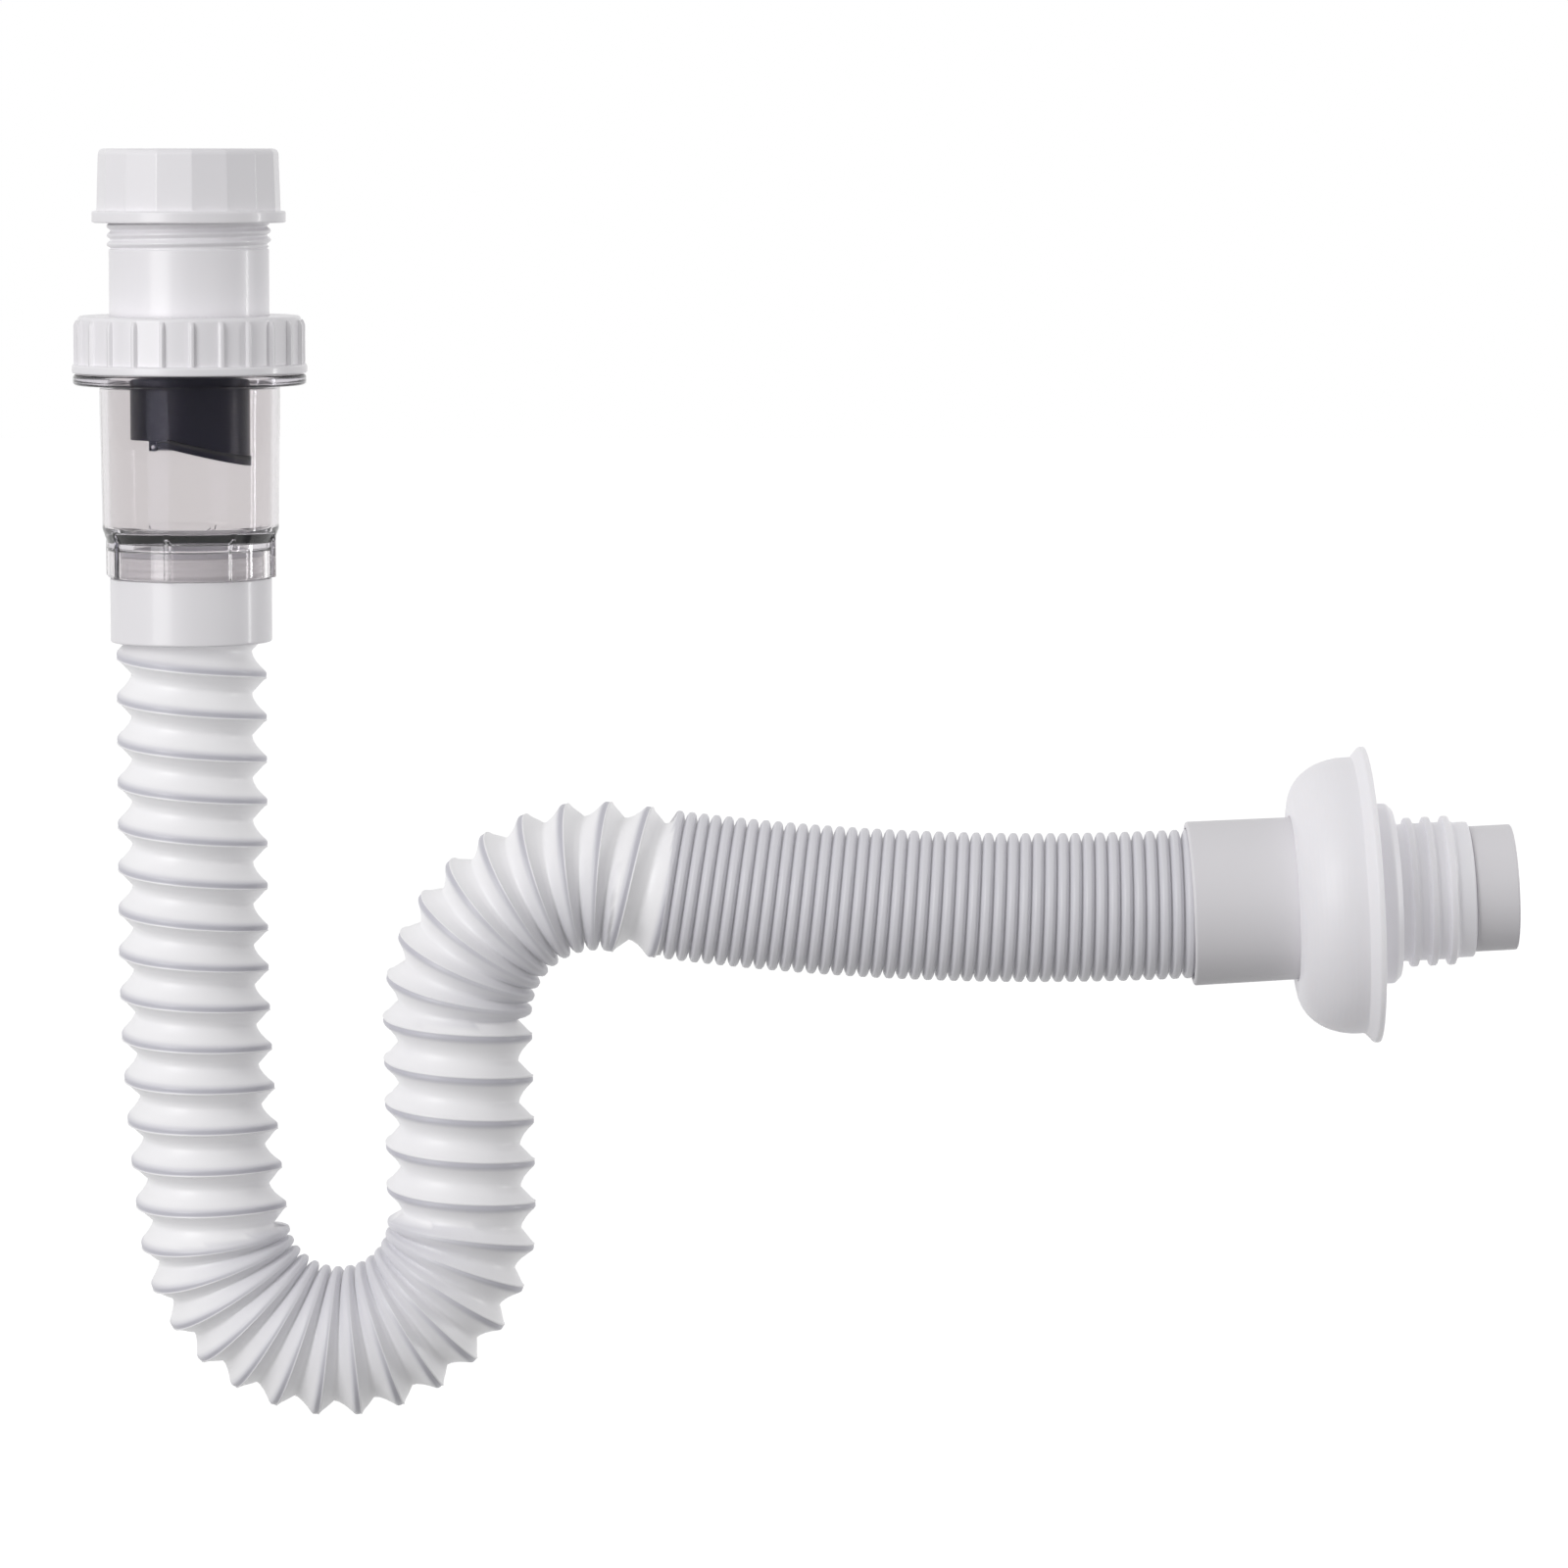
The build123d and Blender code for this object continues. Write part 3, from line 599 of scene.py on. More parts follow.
def step_along(run, heading, curl):
    """Steps in x and z along an arc: its chord at the heading half way.

    With h half the arc's turn, the chord is run sin(h) / h.
    """
    half = curl * run / 2
    chord = run * np.sinc(half / math.pi)
    return chord * np.sin(heading + half), -chord * np.cos(heading + half)


steps = np.stack(step_along(spans, headings[:-1], curls), -1)
joins = np.concatenate([[[0, HOSE_TOP_Z]], [0, HOSE_TOP_Z] + np.cumsum(steps, 0)])


def along_hose(length):
    """Centre x and z, heading, curl and pitch at lengths along the course."""
    index = np.clip(np.searchsorted(starts, length, "right") - 1, 0, len(spans) - 1)
    run = length - starts[index]
    step_x, step_z = step_along(run, headings[index], curls[index])
    heading = headings[index] + curls[index] * run
    return joins[index, 0] + step_x, joins[index, 1] + step_z, heading, curls[index], pitches[index]


def length_at(turn):
    """Lengths along the course where the fold has made a number of turns."""
    index = np.clip(np.searchsorted(turns, turn, "right") - 1, 0, len(spans) - 1)
    return starts[index] + (turn - turns[index]) * pitches[index]


def hose_points(length, angle, r):
    """Points at a radius and an angle round the centre line: centre + r (cos a U + sin a Y)."""
    x, z, heading, _, _ = along_hose(length)
    out = r * np.cos(angle)
    return np.stack([x + out * np.cos(heading), r * np.sin(angle), z + out * np.sin(heading)], -1) * MM


print("hose ends at", brief(hose_points(starts[-1], 0.0, 0.0)))

# %% The shape of the fold
VALLEY_PHASE = 0.47
OPEN_DEPTH = 3.7
SHUT_DEPTH = 2.4
LINE_PHASE = 0.125
LINE_WIDTH = 0.022
LINE_PROUD = 0.45
CREST_SOFT = 0.15
CREST_FLAT = 0.05
HOLLOW_POWER = 1.8
BEAD_POWER = 3.5


def fold_depth(phase, open_share):
    """Depth below the ridge at a phase of one turn of the fold.

    With x running from 0 at a ridge to 1 at the valley, the open fold is straight down the near flank,
    past a short flat, and 1 - (1 - x)^1.8 up the far one. sqrt(s^2 + c^2) - c rounds its crest. The shut
    fold is a bead, x^3.5. A bell curve raises the fine line beside the ridge.
    """
    near = phase < VALLEY_PHASE
    x = np.where(near, phase / VALLEY_PHASE, (1 - phase) / (1 - VALLEY_PHASE))
    past_flat = np.clip((phase - CREST_FLAT) / (VALLEY_PHASE - CREST_FLAT), 0, 1)
    share = np.where(near, past_flat, 1 - (1 - x) ** HOLLOW_POWER)
    valley = math.sqrt(1 + CREST_SOFT**2) - CREST_SOFT
    wave = OPEN_DEPTH * (np.sqrt(share**2 + CREST_SOFT**2) - CREST_SOFT) / valley
    bead = SHUT_DEPTH * x**BEAD_POWER
    line = LINE_PROUD * np.exp(-(((phase - LINE_PHASE) / LINE_WIDTH) ** 2))
    return bead + (wave - bead - line) * open_share


print("fold, open and shut", brief(fold_depth(np.full(2, VALLEY_PHASE), np.array([1, 0]))), "mm deep")

# %% The grid of the fold
AROUND = 64
BORE_R = 11.6
END_TAPER = 2.0
# Where the painted shade band runs on the ridge, and how much painted shade a shut bead gets.
SHADE_BAND_FROM = (-0.14, 0.03)
SHADE_BAND_TO = (0.085, 0.112)
BEAD_SHADE = 0.6

# Rows lie at these phases of each turn, closest together at the ridge and its line.
PHASES = np.array([
    0, 0.025, 0.06, 0.09, 0.107, 0.125, 0.145, 0.20,
    0.33, 0.47, 0.58, 0.72, 0.83, 0.89, 0.94, 0.975,
])

first_turn = math.floor(turns[0]) - 1
last_turn = math.ceil(turns[-1]) + 1
row_turns = (np.arange(first_turn, last_turn)[:, None] + PHASES[None, :]).ravel()
row_phases = np.tile(PHASES, last_turn - first_turn)
around = math.pi / 2 + even_angles(AROUND)
turn_grid = row_turns[:, None] + np.arange(AROUND)[None, :] / AROUND
length_grid = np.clip(length_at(turn_grid), 0, starts[-1])

# The inner side of a bend has a shorter pitch, and the fold is shut where its pitch is short.
_, _, _, curl_grid, pitch_grid = along_hose(length_grid)
local_pitch = pitch_grid * (1 - curl_grid * FOLD_MID_R * np.cos(around))
open_grid = ease(local_pitch, SHUT_PITCH, OPEN_PITCH)

# Both ends taper to the bore.
r_grid = RIDGE_R - fold_depth(row_phases[:, None], open_grid)
to_end = np.minimum(length_grid, starts[-1] - length_grid)
r_grid = BORE_R + (r_grid - BORE_R) * ease(to_end, 0, END_TAPER)
fold_grid = hose_points(length_grid, around, r_grid)

# Painted shade: the ridge's underside is a greyer band that ends at the fine line, and a shut bead is
# evenly a little greyer, as if in shadow.
past_ridge = (np.mod(row_phases + 0.5, 1) - 0.5)[:, None]
band = ease(past_ridge, *SHADE_BAND_FROM) * (1 - ease(past_ridge, *SHADE_BAND_TO))
ridge_shade_grid = BEAD_SHADE + (band - BEAD_SHADE) * open_grid
print("fold rows", len(row_turns), "open share", round(float(open_grid.mean()), 2))

# %% One closed mesh
BORE_ROWS = 160
WELD = 0.001 * MM

# The last column of a row joins the first column of the row one whole turn on.
ids = np.arange(fold_grid[..., 0].size).reshape(-1, AROUND)
spiral = np.concatenate([ids[:-len(PHASES)], ids[len(PHASES):, :1]], 1)
fold_quads = quads_of(spiral)
inside_ends = (to_end > 0).ravel()
fold_quads = fold_quads[inside_ends[fold_quads].any(1)]

# A plain bore closes the inside and meets the tapered ends of the fold.
bore_length = np.linspace(0, starts[-1], BORE_ROWS)[:, None]
bore_grid = hose_points(bore_length, around[None, :], np.full((BORE_ROWS, AROUND), BORE_R))
bore_ids = ids.size + np.arange(BORE_ROWS * AROUND).reshape(BORE_ROWS, AROUND)
bore_quads = quads_of(np.pad(bore_ids, ((0, 0), (0, 1)), mode="wrap"))[:, ::-1]
hose_vertices = np.concatenate([fold_grid.reshape(-1, 3), bore_grid.reshape(-1, 3)])
hose_quads = np.concatenate([fold_quads, bore_quads])
hose = make_piece("spiral_hose", hose_vertices, hose_quads, hose_plastic)
# The ridge attribute carries the painted shade to the hose's finish; the bore gets none.
ridge_shade_mask = hose.data.attributes.new("ridge", "FLOAT", "POINT")
ridge_shade_mask.data.foreach_set("value", np.concatenate([ridge_shade_grid.ravel(), np.zeros(bore_ids.size)]))

welded = bmesh.new()
welded.from_mesh(hose.data)
bmesh.ops.remove_doubles(welded, verts=welded.verts, dist=WELD)
bmesh.ops.delete(welded, geom=[v for v in welded.verts if not v.link_faces], context="VERTS")
open_edges = sum(1 for edge in welded.edges if not edge.is_manifold)
print("open edges", open_edges, "faces", len(welded.faces))
welded.to_mesh(hose.data)
welded.free()

# %% The ends of the arm, and the hose in place of its solid
arm_from = hose_points(starts[SHUT_STRETCH], 0.0, 0.0)
arm_to = hose_points(starts[SHUT_STRETCH + 1], 0.0, 0.0)
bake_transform(hose)
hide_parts("hose")
print("arm from", brief(arm_from), "to", brief(arm_to))

# %% [markdown]
# ## The inlet and its nuts
#
# The nut at the top has sixteen flats and a round flange at its foot. Below it a few turns of the inlet's
# thread show, then the plain neck. The ring nut has a grip of upright ribs that stand between its rounded
# top and a plain band. Boolean cuts could make these, but they leave uneven faces. Here all three are
# turned outlines whose radius also depends on the angle: a flat is the radius
# r cos(half a side) / cos(angle from its middle), a rib is a bump, and a thread is a wave that climbs one
# pitch a turn. Each change fades in over a short stretch, so that it keeps to its own part of the outline.

# %% The inlet nut
NUT_SIDES = 16
NUT_SIDE = 2 * math.pi / NUT_SIDES
NUT_TURN = math.radians(7.5)
NUT_TOP_R = 22.75
NUT_FOOT_R = 23.25
NUT_FLANGE_R = 24.5
NUT_FLANGE_TOP = -8.75
NUT_BORE_R = 21.05
NUT_BORE_TOP = 3.5
NUT_MOUTH_R = 16.8
FLAT_PAST_FLANGE = (-0.05, 0.05)
FLAT_PAST_BORE = (0.1, 0.6)
nut_low, nut_high = (corner.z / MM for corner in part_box("inlet_nut"))

nut_outline = rounded([
    (NUT_MOUTH_R, nut_high, 0.5),
    (NUT_TOP_R, nut_high, 1.5),
    (NUT_FOOT_R, NUT_FLANGE_TOP, 0.25),
    (NUT_FLANGE_R, NUT_FLANGE_TOP, 0.5),
    (NUT_FLANGE_R, nut_low, 0.5),
    (NUT_BORE_R, nut_low, 0.3),
    (NUT_BORE_R, NUT_BORE_TOP, 0.2),
    (NUT_MOUTH_R, NUT_BORE_TOP, 0.2),
])


def nut_reach(r, z, a):
    """The outside above the flange is drawn in to sixteen flats."""
    from_middle = off_nearest(a, NUT_SIDES, NUT_TURN + NUT_SIDE / 2)
    flat = math.cos(NUT_SIDE / 2) / np.cos(from_middle)
    outside = ease(r - NUT_BORE_R, *FLAT_PAST_BORE) * ease(z - NUT_FLANGE_TOP, *FLAT_PAST_FLANGE)
    return r * (1 + (flat - 1) * outside)


# Columns across one side, as shares of it, closest together at its corners.
side_shares = np.array([0, 0.025, 0.06, 0.2, 0.4, 0.6, 0.8, 0.94, 0.975])
nut_angles = repeated_angles(NUT_SIDES, NUT_TURN, side_shares * NUT_SIDE)
nut = turned_piece("faceted_nut", nut_outline, nut_angles, white_plastic, nut_reach)
stand_for(nut, "inlet_nut", "inlet_nut")

# %% The inlet tube and its thread
THREAD_CREST_R = 20.75
THREAD_ROOT_R = 19.75
THREAD_FOOT = -18.25
THREAD_PITCH = 2.3
THREAD_POWER = 0.7
NECK_R = 20.25
NECK_STEP = 0.3
FLANGE_R = 24.25
FLANGE_TOP = -37.75
TUBE_BORE_R = 16.4
WAIST_R = 14.2
WAIST_TOP = -28.0
THREAD_NEAR_ROOT = (-0.4, -0.1)
THREAD_FROM_TOP = (0.2, 0.8)
THREAD_RUN_OUT = (0, 0.6)
tube_low, tube_high = (corner.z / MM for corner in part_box("inlet_tube"))

tube_outline = rounded([
    (TUBE_BORE_R, tube_high, 0.3),
    (THREAD_ROOT_R, tube_high, 0.3),
    (THREAD_ROOT_R, THREAD_FOOT, 0),
    (NECK_R, THREAD_FOOT - NECK_STEP, 0.2),
    (NECK_R, FLANGE_TOP, 0.4),
    (FLANGE_R, FLANGE_TOP, 0.4),
    (FLANGE_R, tube_low, 0.3),
    (WAIST_R, tube_low, 0.3),
    (WAIST_R, WAIST_TOP, 0.3),
    (TUBE_BORE_R, WAIST_TOP, 0.3),
], step=THREAD_PITCH / 10)


def thread(z, a, pitch, height):
    """A wave that climbs one pitch a turn: height times (half + half cos)^0.7."""
    phase = 2 * math.pi * z / pitch - a
    return height * (0.5 + 0.5 * np.cos(phase)) ** THREAD_POWER


def tube_reach(r, z, a):
    """The thread stands on the mouth and runs out above the neck."""
    on_mouth = ease(r - THREAD_ROOT_R, *THREAD_NEAR_ROOT) * ease(z - THREAD_FOOT, *THREAD_RUN_OUT)
    wave = thread(z, a, THREAD_PITCH, THREAD_CREST_R - THREAD_ROOT_R)
    return r + wave * on_mouth * ease(-z, *THREAD_FROM_TOP)


tube = turned_piece("threaded_inlet", tube_outline, even_angles(96), white_plastic, tube_reach)
stand_for(tube, "inlet_tube", "inlet")

# %% The ring nut
RIBS = 24
RIB_TURN = math.radians(FRONT + 6.4)
RIB_HALF_WIDTH = 0.8
RIB_PROUD = 1.0
PANEL_R = 28.25
BAND_R = 29.75
BAND_HEIGHT = 2.25
RING_BORE_R = 24.55
RING_MOUTH_R = 20.55
RIB_SIDE = (-0.25, 0.2)
RIB_NEAR_PANEL = (-0.9, -0.3)
RIB_FROM_TOP = (0.2, 1.2)
ring_low, ring_high = (corner.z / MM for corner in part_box("ring_nut"))
band_top = ring_low + BAND_HEIGHT

ring_outline = rounded([
    (RING_MOUTH_R, ring_high, 0.3),
    (PANEL_R, ring_high, 1.0),
    (PANEL_R, band_top, 0.3),
    (BAND_R, band_top, 0.6),
    (BAND_R, ring_low, 0.5),
    (RING_BORE_R, ring_low, 0.3),
    (RING_BORE_R, FLANGE_TOP, 0.2),
    (RING_MOUTH_R, FLANGE_TOP, 0.2),
], step=1.5)


def ring_reach(r, z, a):
    """Ribs stand on the panel between the rounded top and the band."""
    across = off_nearest(a, RIBS, RIB_TURN) * PANEL_R
    rib = 1 - ease(across - RIB_HALF_WIDTH, *RIB_SIDE)
    on_panel = ease(r - PANEL_R, *RIB_NEAR_PANEL) * ease(ring_high - z, *RIB_FROM_TOP)
    return np.maximum(r, np.minimum(r + RIB_PROUD, PANEL_R + RIB_PROUD) * rib * on_panel)


# Columns about one rib, in degrees, closest together at its sides, with one about half way between ribs.
beside_rib = np.array([1.0, 1.25, 1.5, 1.75, 2.0, 2.3, 3.6])
between_ribs = np.array([-7.2])
rib_columns = np.concatenate([between_ribs, -beside_rib[::-1], [0], beside_rib])
ring_angles = repeated_angles(RIBS, RIB_TURN, np.radians(rib_columns))
ring = turned_piece("ribbed_ring", ring_outline, ring_angles, white_plastic, ring_reach)
stand_for(ring, "ring_nut", "ring_nut")

# %% [markdown]
# ## The clear cup and the cuff below it
#
# The cup is one clear moulding with an inside and an outside wall, so light bends at both, as it wouldn't
# in a single skin. It has a thick flange under the ring nut, a wall that tapers a little, a shoulder, and
# a socket with eight small gussets. The white cuff screws up into that socket, and its thread shows
# through the clear wall.

# %% The clear cup
GUSSETS = 8
GUSSET_TURN = math.radians(FRONT + 34.4)
GUSSET_HALF_WIDTH = 0.8
GUSSET_R = 22.2
GUSSET_TOP = -89.0
CUP_FLANGE_R = 29.5
CUP_FLANGE_TOP = -50.0
CUP_FLANGE_FOOT = -52.75
CUP_BORE_R = 20.9
WALL_TOP_R = 22.9
WALL_FOOT_R = 22.4
SHOULDER_TOP = -89.25
SHOULDER_BORE_R = 20.4
CUP_FLOOR_TOP = -92.5
CUP_FLOOR_FOOT = -94.5
CUP_FOOT_R = 21.2
SOCKET_R = 18.7
DRAIN_R = 14.6
GUSSET_SIDE = (-0.3, 0.2)
GUSSET_NEAR_FOOT = (-0.5, -0.1)
cup_low, cup_high = (corner.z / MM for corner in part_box("clear_cup"))

cup_outline = rounded([
    (CUP_BORE_R, cup_high, 0.3),
    (FLANGE_R, cup_high, 0.3),
    (FLANGE_R, CUP_FLANGE_TOP, 0.3),
    (CUP_FLANGE_R, CUP_FLANGE_TOP, 0.8),
    (CUP_FLANGE_R, CUP_FLANGE_FOOT, 0.8),
    (WALL_TOP_R, CUP_FLANGE_FOOT, 0.8),
    (WALL_FOOT_R, SHOULDER_TOP, 1.6),
    (CUP_FOOT_R, CUP_FLOOR_TOP, 1.0),
    (CUP_FOOT_R, cup_low, 0.4),
    (SOCKET_R, cup_low, 0.3),
    (SOCKET_R, CUP_FLOOR_FOOT, 0.3),
    (DRAIN_R, CUP_FLOOR_FOOT, 0.4),
    (DRAIN_R, CUP_FLOOR_TOP, 0.6),
    (SHOULDER_BORE_R, SHOULDER_TOP, 1.5),
], step=2.0)


def cup_reach(r, z, a):
    """Gussets fill the corner between the socket and the shoulder."""
    across = off_nearest(a, GUSSETS, GUSSET_TURN) * CUP_FOOT_R
    gusset = 1 - ease(across - GUSSET_HALF_WIDTH, *GUSSET_SIDE)
    outside = ease(r - CUP_FOOT_R, *GUSSET_NEAR_FOOT) * (z < GUSSET_TOP)
    return r + np.maximum(GUSSET_R - r, 0) * gusset * outside


# Columns about one gusset, in degrees, closest together on it.
on_gusset = np.linspace(-3, 3, 13)
gusset_columns = np.concatenate([np.linspace(-22, -4.5, 8), on_gusset, np.linspace(4.5, 19, 7)])
cup_angles = repeated_angles(GUSSETS, GUSSET_TURN, np.radians(gusset_columns))
cup = turned_piece("clear_chamber", cup_outline, cup_angles, clear_plastic, cup_reach)
stand_for(cup, "clear_cup", "cup")

# %% The cuff of the hose
SPIGOT_R = 18.4
SPIGOT_PITCH = 2.0
SPIGOT_THREAD = 0.45
SPIGOT_ROOT_R = SPIGOT_R - SPIGOT_THREAD
CUFF_TOP = -101.8
CUFF_R = 20.5
HOSE_SEAT_R = 19.3
HOSE_STOP = -106.05
OFF_ROOT = (0.05, 0.2)
cuff_low, cuff_high = (corner.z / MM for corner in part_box("hose_cuff"))

cuff_outline = rounded([
    (DRAIN_R, cuff_high, 0.3),
    (SPIGOT_ROOT_R, cuff_high, 0.3),
    (SPIGOT_ROOT_R, CUFF_TOP, 0.1),
    (CUFF_R, CUFF_TOP, 0.4),
    (CUFF_R, cuff_low, 1.0),
    (HOSE_SEAT_R, cuff_low, 0.2),
    (HOSE_SEAT_R, HOSE_STOP, 0.2),
    (DRAIN_R, HOSE_STOP, 0.2),
], step=SPIGOT_PITCH / 8)


def cuff_reach(r, z, a):
    """A thread stands on the spigot and runs out above the cuff."""
    near_root = 1 - ease(np.abs(r - SPIGOT_ROOT_R), *OFF_ROOT)
    wave = thread(z, a, SPIGOT_PITCH, SPIGOT_THREAD)
    return r + wave * near_root * ease(z - CUFF_TOP, *THREAD_RUN_OUT)


cuff = turned_piece("hose_collar", cuff_outline, even_angles(96), white_plastic, cuff_reach)
stand_for(cuff, "hose_cuff", "hose")

# %% [markdown]
# ## The outlet and its wall seal
#
# The outlet is round about its own axis, which leans up by a few degrees. The grey-white cuff steps down
# to a spigot, and the soft seal is pushed over both: a bell with a thin flared lip, and a sleeve with
# three round ribs that grip the hole. Both are shaped about Z first and then laid along the outlet's axis,
# rather than turned as objects, so that each piece's place stays in its mesh.

# %% The outlet's axis
OUTLET_END = 82.8
SPIGOT_CHAMFER = 0.4
spigot_mount = next(m for m in frame["record"]["mounts"] if m["name"] == "outlet_spigot")
outlet_axis = np.array(spigot_mount["axis"]) / np.linalg.norm(spigot_mount["axis"])
free_half = spigot_mount["dims"]["length_mm"] / 2
mount_to_mouth = (free_half + SPIGOT_CHAMFER - OUTLET_END) * MM
outlet_mouth = np.array(spigot_mount["pos_m"]) + outlet_axis * mount_to_mouth
outlet_side = np.array([0.0, 1.0, 0.0])
outlet_up = np.cross(outlet_axis, outlet_side)


def on_outlet(points):
    """Points turned about Z, laid along the outlet: mouth + x side + y up + z axis."""
    x, y, z = points[:, :1], points[:, 1:2], points[:, 2:]
    return outlet_mouth + x * outlet_side + y * outlet_up + z * outlet_axis


print("outlet mouth", brief(outlet_mouth), "axis", brief(outlet_axis))

# %% The outlet cuff
OUTLET_CUFF_R = 20.9
OUTLET_CUFF_END = 50.8
OUTLET_CUFF_END_R = 20.5
OUTLET_CUFF_BORE_R = 18.0
OUTLET_SEAT_DEPTH = 8.0
SEAT_R = 15.6
FREE_END_FROM = 72.0
FREE_END_R = 16.0
OUTLET_BORE_R = 14.2
FUNNEL = 4.0

outlet_outline = rounded([
    (HOSE_SEAT_R, 0, 0.3),
    (OUTLET_CUFF_R, 0, 0.9),
    (OUTLET_CUFF_END_R, OUTLET_CUFF_END, 0.5),
    (SEAT_R, OUTLET_CUFF_END, 0.3),
    (SEAT_R, FREE_END_FROM, 0),
    (FREE_END_R, FREE_END_FROM, 0),
    (FREE_END_R, OUTLET_END, 0.5),
    (OUTLET_BORE_R, OUTLET_END, 0.4),
    (OUTLET_BORE_R, OUTLET_CUFF_END, 0.5),
    (OUTLET_CUFF_BORE_R, OUTLET_CUFF_END - FUNNEL, 0.5),
    (OUTLET_CUFF_BORE_R, OUTLET_SEAT_DEPTH, 0.2),
    (HOSE_SEAT_R, OUTLET_SEAT_DEPTH, 0.2),
])
outlet = turned_piece("outlet_spigot", outlet_outline, even_angles(112), grey_plastic, None, on_outlet)
stand_for(outlet, "outlet_cuff", "outlet")

# %% The bell's round brow and the sleeve's ribs
NOSE = 26.6
NOSE_R = 24.25
BROW = 41.1
BROW_STEP = 6
BELL_R = 35.25
BELL_WALL = 2.6
BELL_BORE_R = BELL_R - BELL_WALL
NOSE_BACK = NOSE + BELL_WALL
SLEEVE_R = 17.5
SEAL_RIBS = 3
SEAL_RIB_FIRST = 56.45
SEAL_RIB_PITCH = 4.75
SEAL_RIB_R = 19.0
SEAL_RIB_HALF = 0.9
SEAL_RIB_ROOT = 0.5
SEAL_RIB_FOOT_HALF = 1.5


def brow_corners(from_height, to_r):
    """Points on the quarter round of the bell from its nose to its skirt: sin and cos of one angle."""
    angle = np.radians(np.arange(BROW_STEP, 90, BROW_STEP))
    r = NOSE_R + (to_r - NOSE_R) * np.sin(angle)
    height = BROW - (BROW - from_height) * np.cos(angle)
    return [(float(a), float(b), 0.0) for a, b in zip(r, height)]


sleeve_corners = []
for rib in range(SEAL_RIBS):
    middle = SEAL_RIB_FIRST + rib * SEAL_RIB_PITCH
    sleeve_corners += [
        (SLEEVE_R, middle - SEAL_RIB_FOOT_HALF, 0.4),
        (SLEEVE_R + SEAL_RIB_ROOT, middle - SEAL_RIB_HALF, 0.2),
        (SEAL_RIB_R, middle - SEAL_RIB_HALF, 0.85),
        (SEAL_RIB_R, middle + SEAL_RIB_HALF, 0.85),
        (SLEEVE_R + SEAL_RIB_ROOT, middle + SEAL_RIB_HALF, 0.2),
        (SLEEVE_R, middle + SEAL_RIB_FOOT_HALF, 0.4),
    ]
print("corners of the sleeve's ribs", len(sleeve_corners))

# %% The wall seal
LIP = 46.1
LIP_R = 37.75
LIP_HALF = 0.9
LIP_FLARE_FROM = LIP - 3.2
LIP_BACK_FROM = LIP - 2.5
HUB_R = 22.975
HUB_SLOPE = 1.6
SEAL_BORE_R = 21.025
SEAL_STEP = 51.1
SLEEVE_FROM = 52.7
SLEEVE_BORE_R = 16.25
SLEEVE_END = 71.7
TAIL_FROM = SLEEVE_END - 4.0
TAIL_R = SLEEVE_R - 0.25

seal_outline = rounded([
    (SEAL_BORE_R, NOSE, 0.4),
    (NOSE_R, NOSE, 0),
    *brow_corners(NOSE, BELL_R),
    (BELL_R, BROW, 0),
    (BELL_R, LIP_FLARE_FROM, 0.5),
    (LIP_R, LIP - LIP_HALF, 0.8),
    (LIP_R, LIP + LIP_HALF, 0.8),
    (BELL_BORE_R, LIP_BACK_FROM, 0.5),
    (BELL_BORE_R, BROW, 0),
    *brow_corners(NOSE_BACK, BELL_BORE_R)[::-1],
    (NOSE_R, NOSE_BACK, 0),
    (HUB_R, NOSE_BACK, 0.3),
    (HUB_R, SEAL_STEP, 1.2),
    (HUB_R - HUB_SLOPE, SLEEVE_FROM, 0.5),
    (SLEEVE_R, SLEEVE_FROM, 0.6),
    *sleeve_corners,
    (SLEEVE_R, TAIL_FROM, 0.1),
    (TAIL_R, TAIL_FROM, 0.1),
    (TAIL_R, SLEEVE_END, 0.4),
    (SLEEVE_BORE_R, SLEEVE_END, 0.2),
    (SLEEVE_BORE_R, SEAL_STEP, 0.2),
    (SEAL_BORE_R, SEAL_STEP, 0.2),
], step=3.0)
seal = turned_piece("bell_seal", seal_outline, even_angles(128), milky_silicone, None, on_outlet)
stand_for(seal, "wall_seal", "wall_seal")

# %% [markdown]
# ## The pieces that stay as they came
#
# The core, the flap and their pin and spring, and the rubber rings, have plain turned and cut shapes that
# the solids already give. Making them again would only risk a difference, so they just take their finishes.

# %% Finishes of the remaining solids
KEPT = {
    "valve_core": navy_plastic,
    "flap": navy_plastic,
    "flap_seal": black_rubber,
    "flap_pin": steel,
    "flap_spring": steel,
    "inlet_washer": black_rubber,
    "inlet_gasket": black_rubber,
    "cuff_gasket": worn_rubber,
}
for node_name, material in KEPT.items():
    nodes[node_name].data.materials.clear()
    nodes[node_name].data.materials.append(material)
print("kept solids", sorted(KEPT))

# %% [markdown]
# ## Studio
#
# The photograph has a white background with no shadow on it. A big soft lamp stands to the left and in
# front, everything around is pale, and a narrow strip on the right draws a bright line down the round
# pieces. The world is plain white where the camera, a gloss or the clear cup looks at it, and dimmer where
# it lights the pipe, so the white comes from the background and not from more light.

# %% Floor and world
FLOOR_DROP = 0.12
FLOOR_HALF = 8.0
FLOOR_GLOW = 0.91
FLOOR_PALE = 0.28
AMBIENT = 0.50
floor_z = cad_box[0].z - FLOOR_DROP

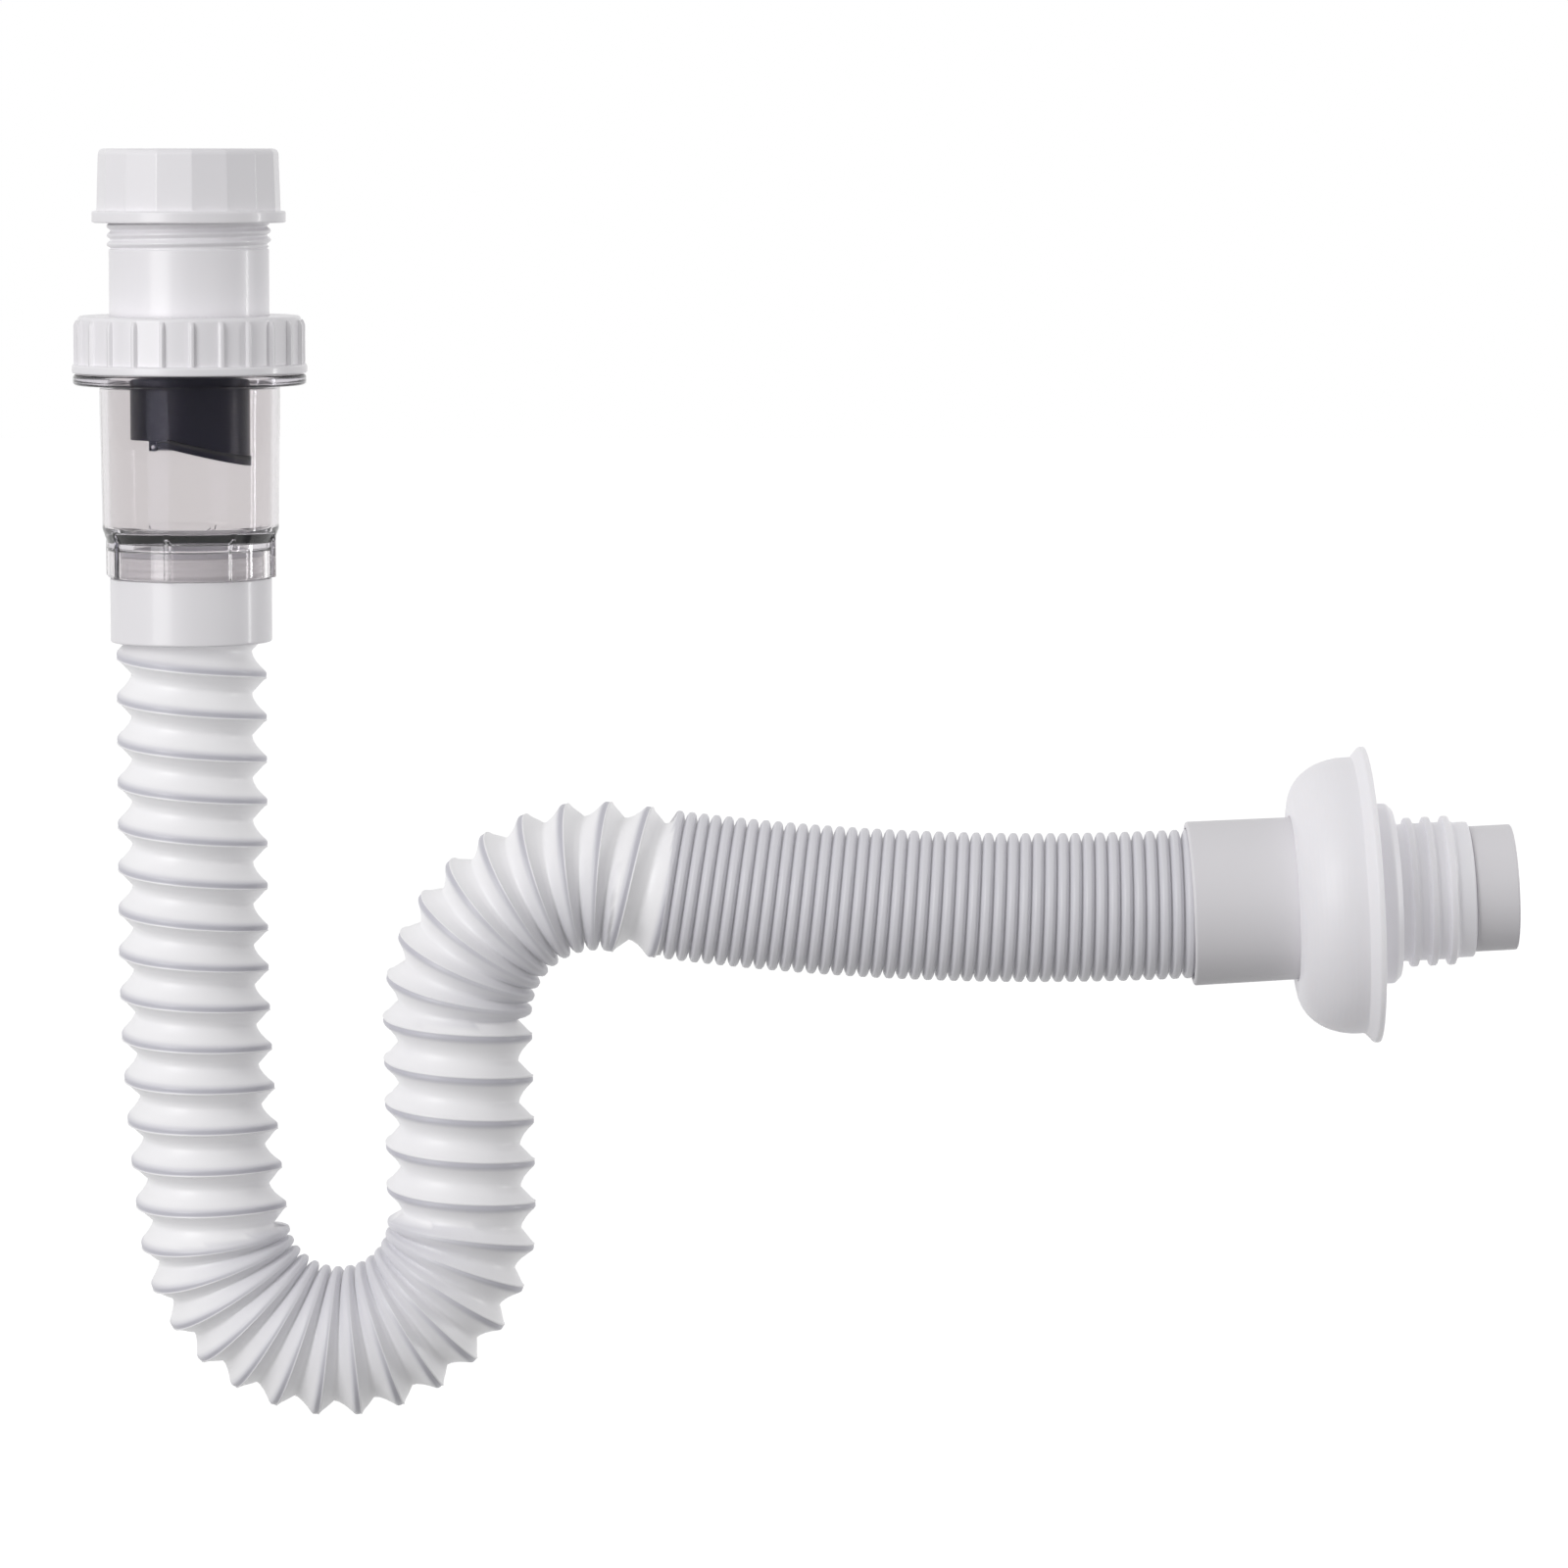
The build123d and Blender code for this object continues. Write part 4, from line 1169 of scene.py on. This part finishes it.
floor_corners = np.array([[-1, -1, 0], [1, -1, 0], [1, 1, 0], [-1, 1, 0]])
floor_points = floor_corners * FLOOR_HALF + [0, 0, floor_z]
floor_mesh = bpy.data.meshes.new("floor")
floor_mesh.from_pydata(floor_points.tolist(), [], [[0, 1, 2, 3]])
floor = into_scene("floor", floor_mesh)


def seen_directly(finish):
    """1 for a ray that shows the background: from the camera, in a gloss or through the clear cup."""
    camera_ray = finish.node("ShaderNodeLightPath", output="Is Camera Ray")
    gloss_ray = finish.node("ShaderNodeLightPath", output="Is Glossy Ray")
    clear_ray = finish.node("ShaderNodeLightPath", output="Is Transmission Ray")
    return camera_ray.top(gloss_ray).top(clear_ray)


floor_finish = Finish(bpy.data.materials.new("floor"))
floor_colour = (FLOOR_PALE, FLOOR_PALE, FLOOR_PALE, 1)
floor_glow = FLOOR_GLOW * seen_directly(floor_finish)
pale = floor_finish.node("ShaderNodeBsdfDiffuse", None, {"Color": floor_colour})
glow = floor_finish.node("ShaderNodeEmission", None, {"Strength": floor_glow})
pale_and_glow = floor_finish.node("ShaderNodeAddShader", None, {0: pale, 1: glow})
floor_finish.node("ShaderNodeOutputMaterial", None, {"Surface": pale_and_glow})
floor_mesh.materials.append(floor_finish.owner)

world = bpy.data.worlds.new("studio")
bpy.context.scene.world = world
sky = Finish(world)
strength = AMBIENT + (1 - AMBIENT) * seen_directly(sky)
light = sky.node("ShaderNodeBackground", None, {"Color": (1, 1, 1, 1), "Strength": strength})
sky.node("ShaderNodeOutputWorld", None, {"Surface": light})
print("floor at", round(floor_z, 3))

# %% Lamps

# Each row is a name, a place, a width and height in metres, and a power in watts.
LAMPS = [
    ("key", (-1.0, -1.34, 0.30), (0.9, 1.4), 16.0),
    ("strip", (1.5, 0.18, 0.0), (0.10, 0.9), 5.0),
]
box_middle = (cad_box[0] + cad_box[1]) / 2
for lamp_name, lamp_place, lamp_size, power in LAMPS:
    lamp_data = bpy.data.lights.new(lamp_name, "AREA")
    lamp_data.shape = "RECTANGLE"
    lamp_data.size, lamp_data.size_y = lamp_size
    lamp_data.energy = power
    look_from(into_scene(lamp_name, lamp_data), lamp_place, box_middle)
bpy.context.scene.view_settings.view_transform = "Standard"
print("lamps", [row[0] for row in LAMPS])
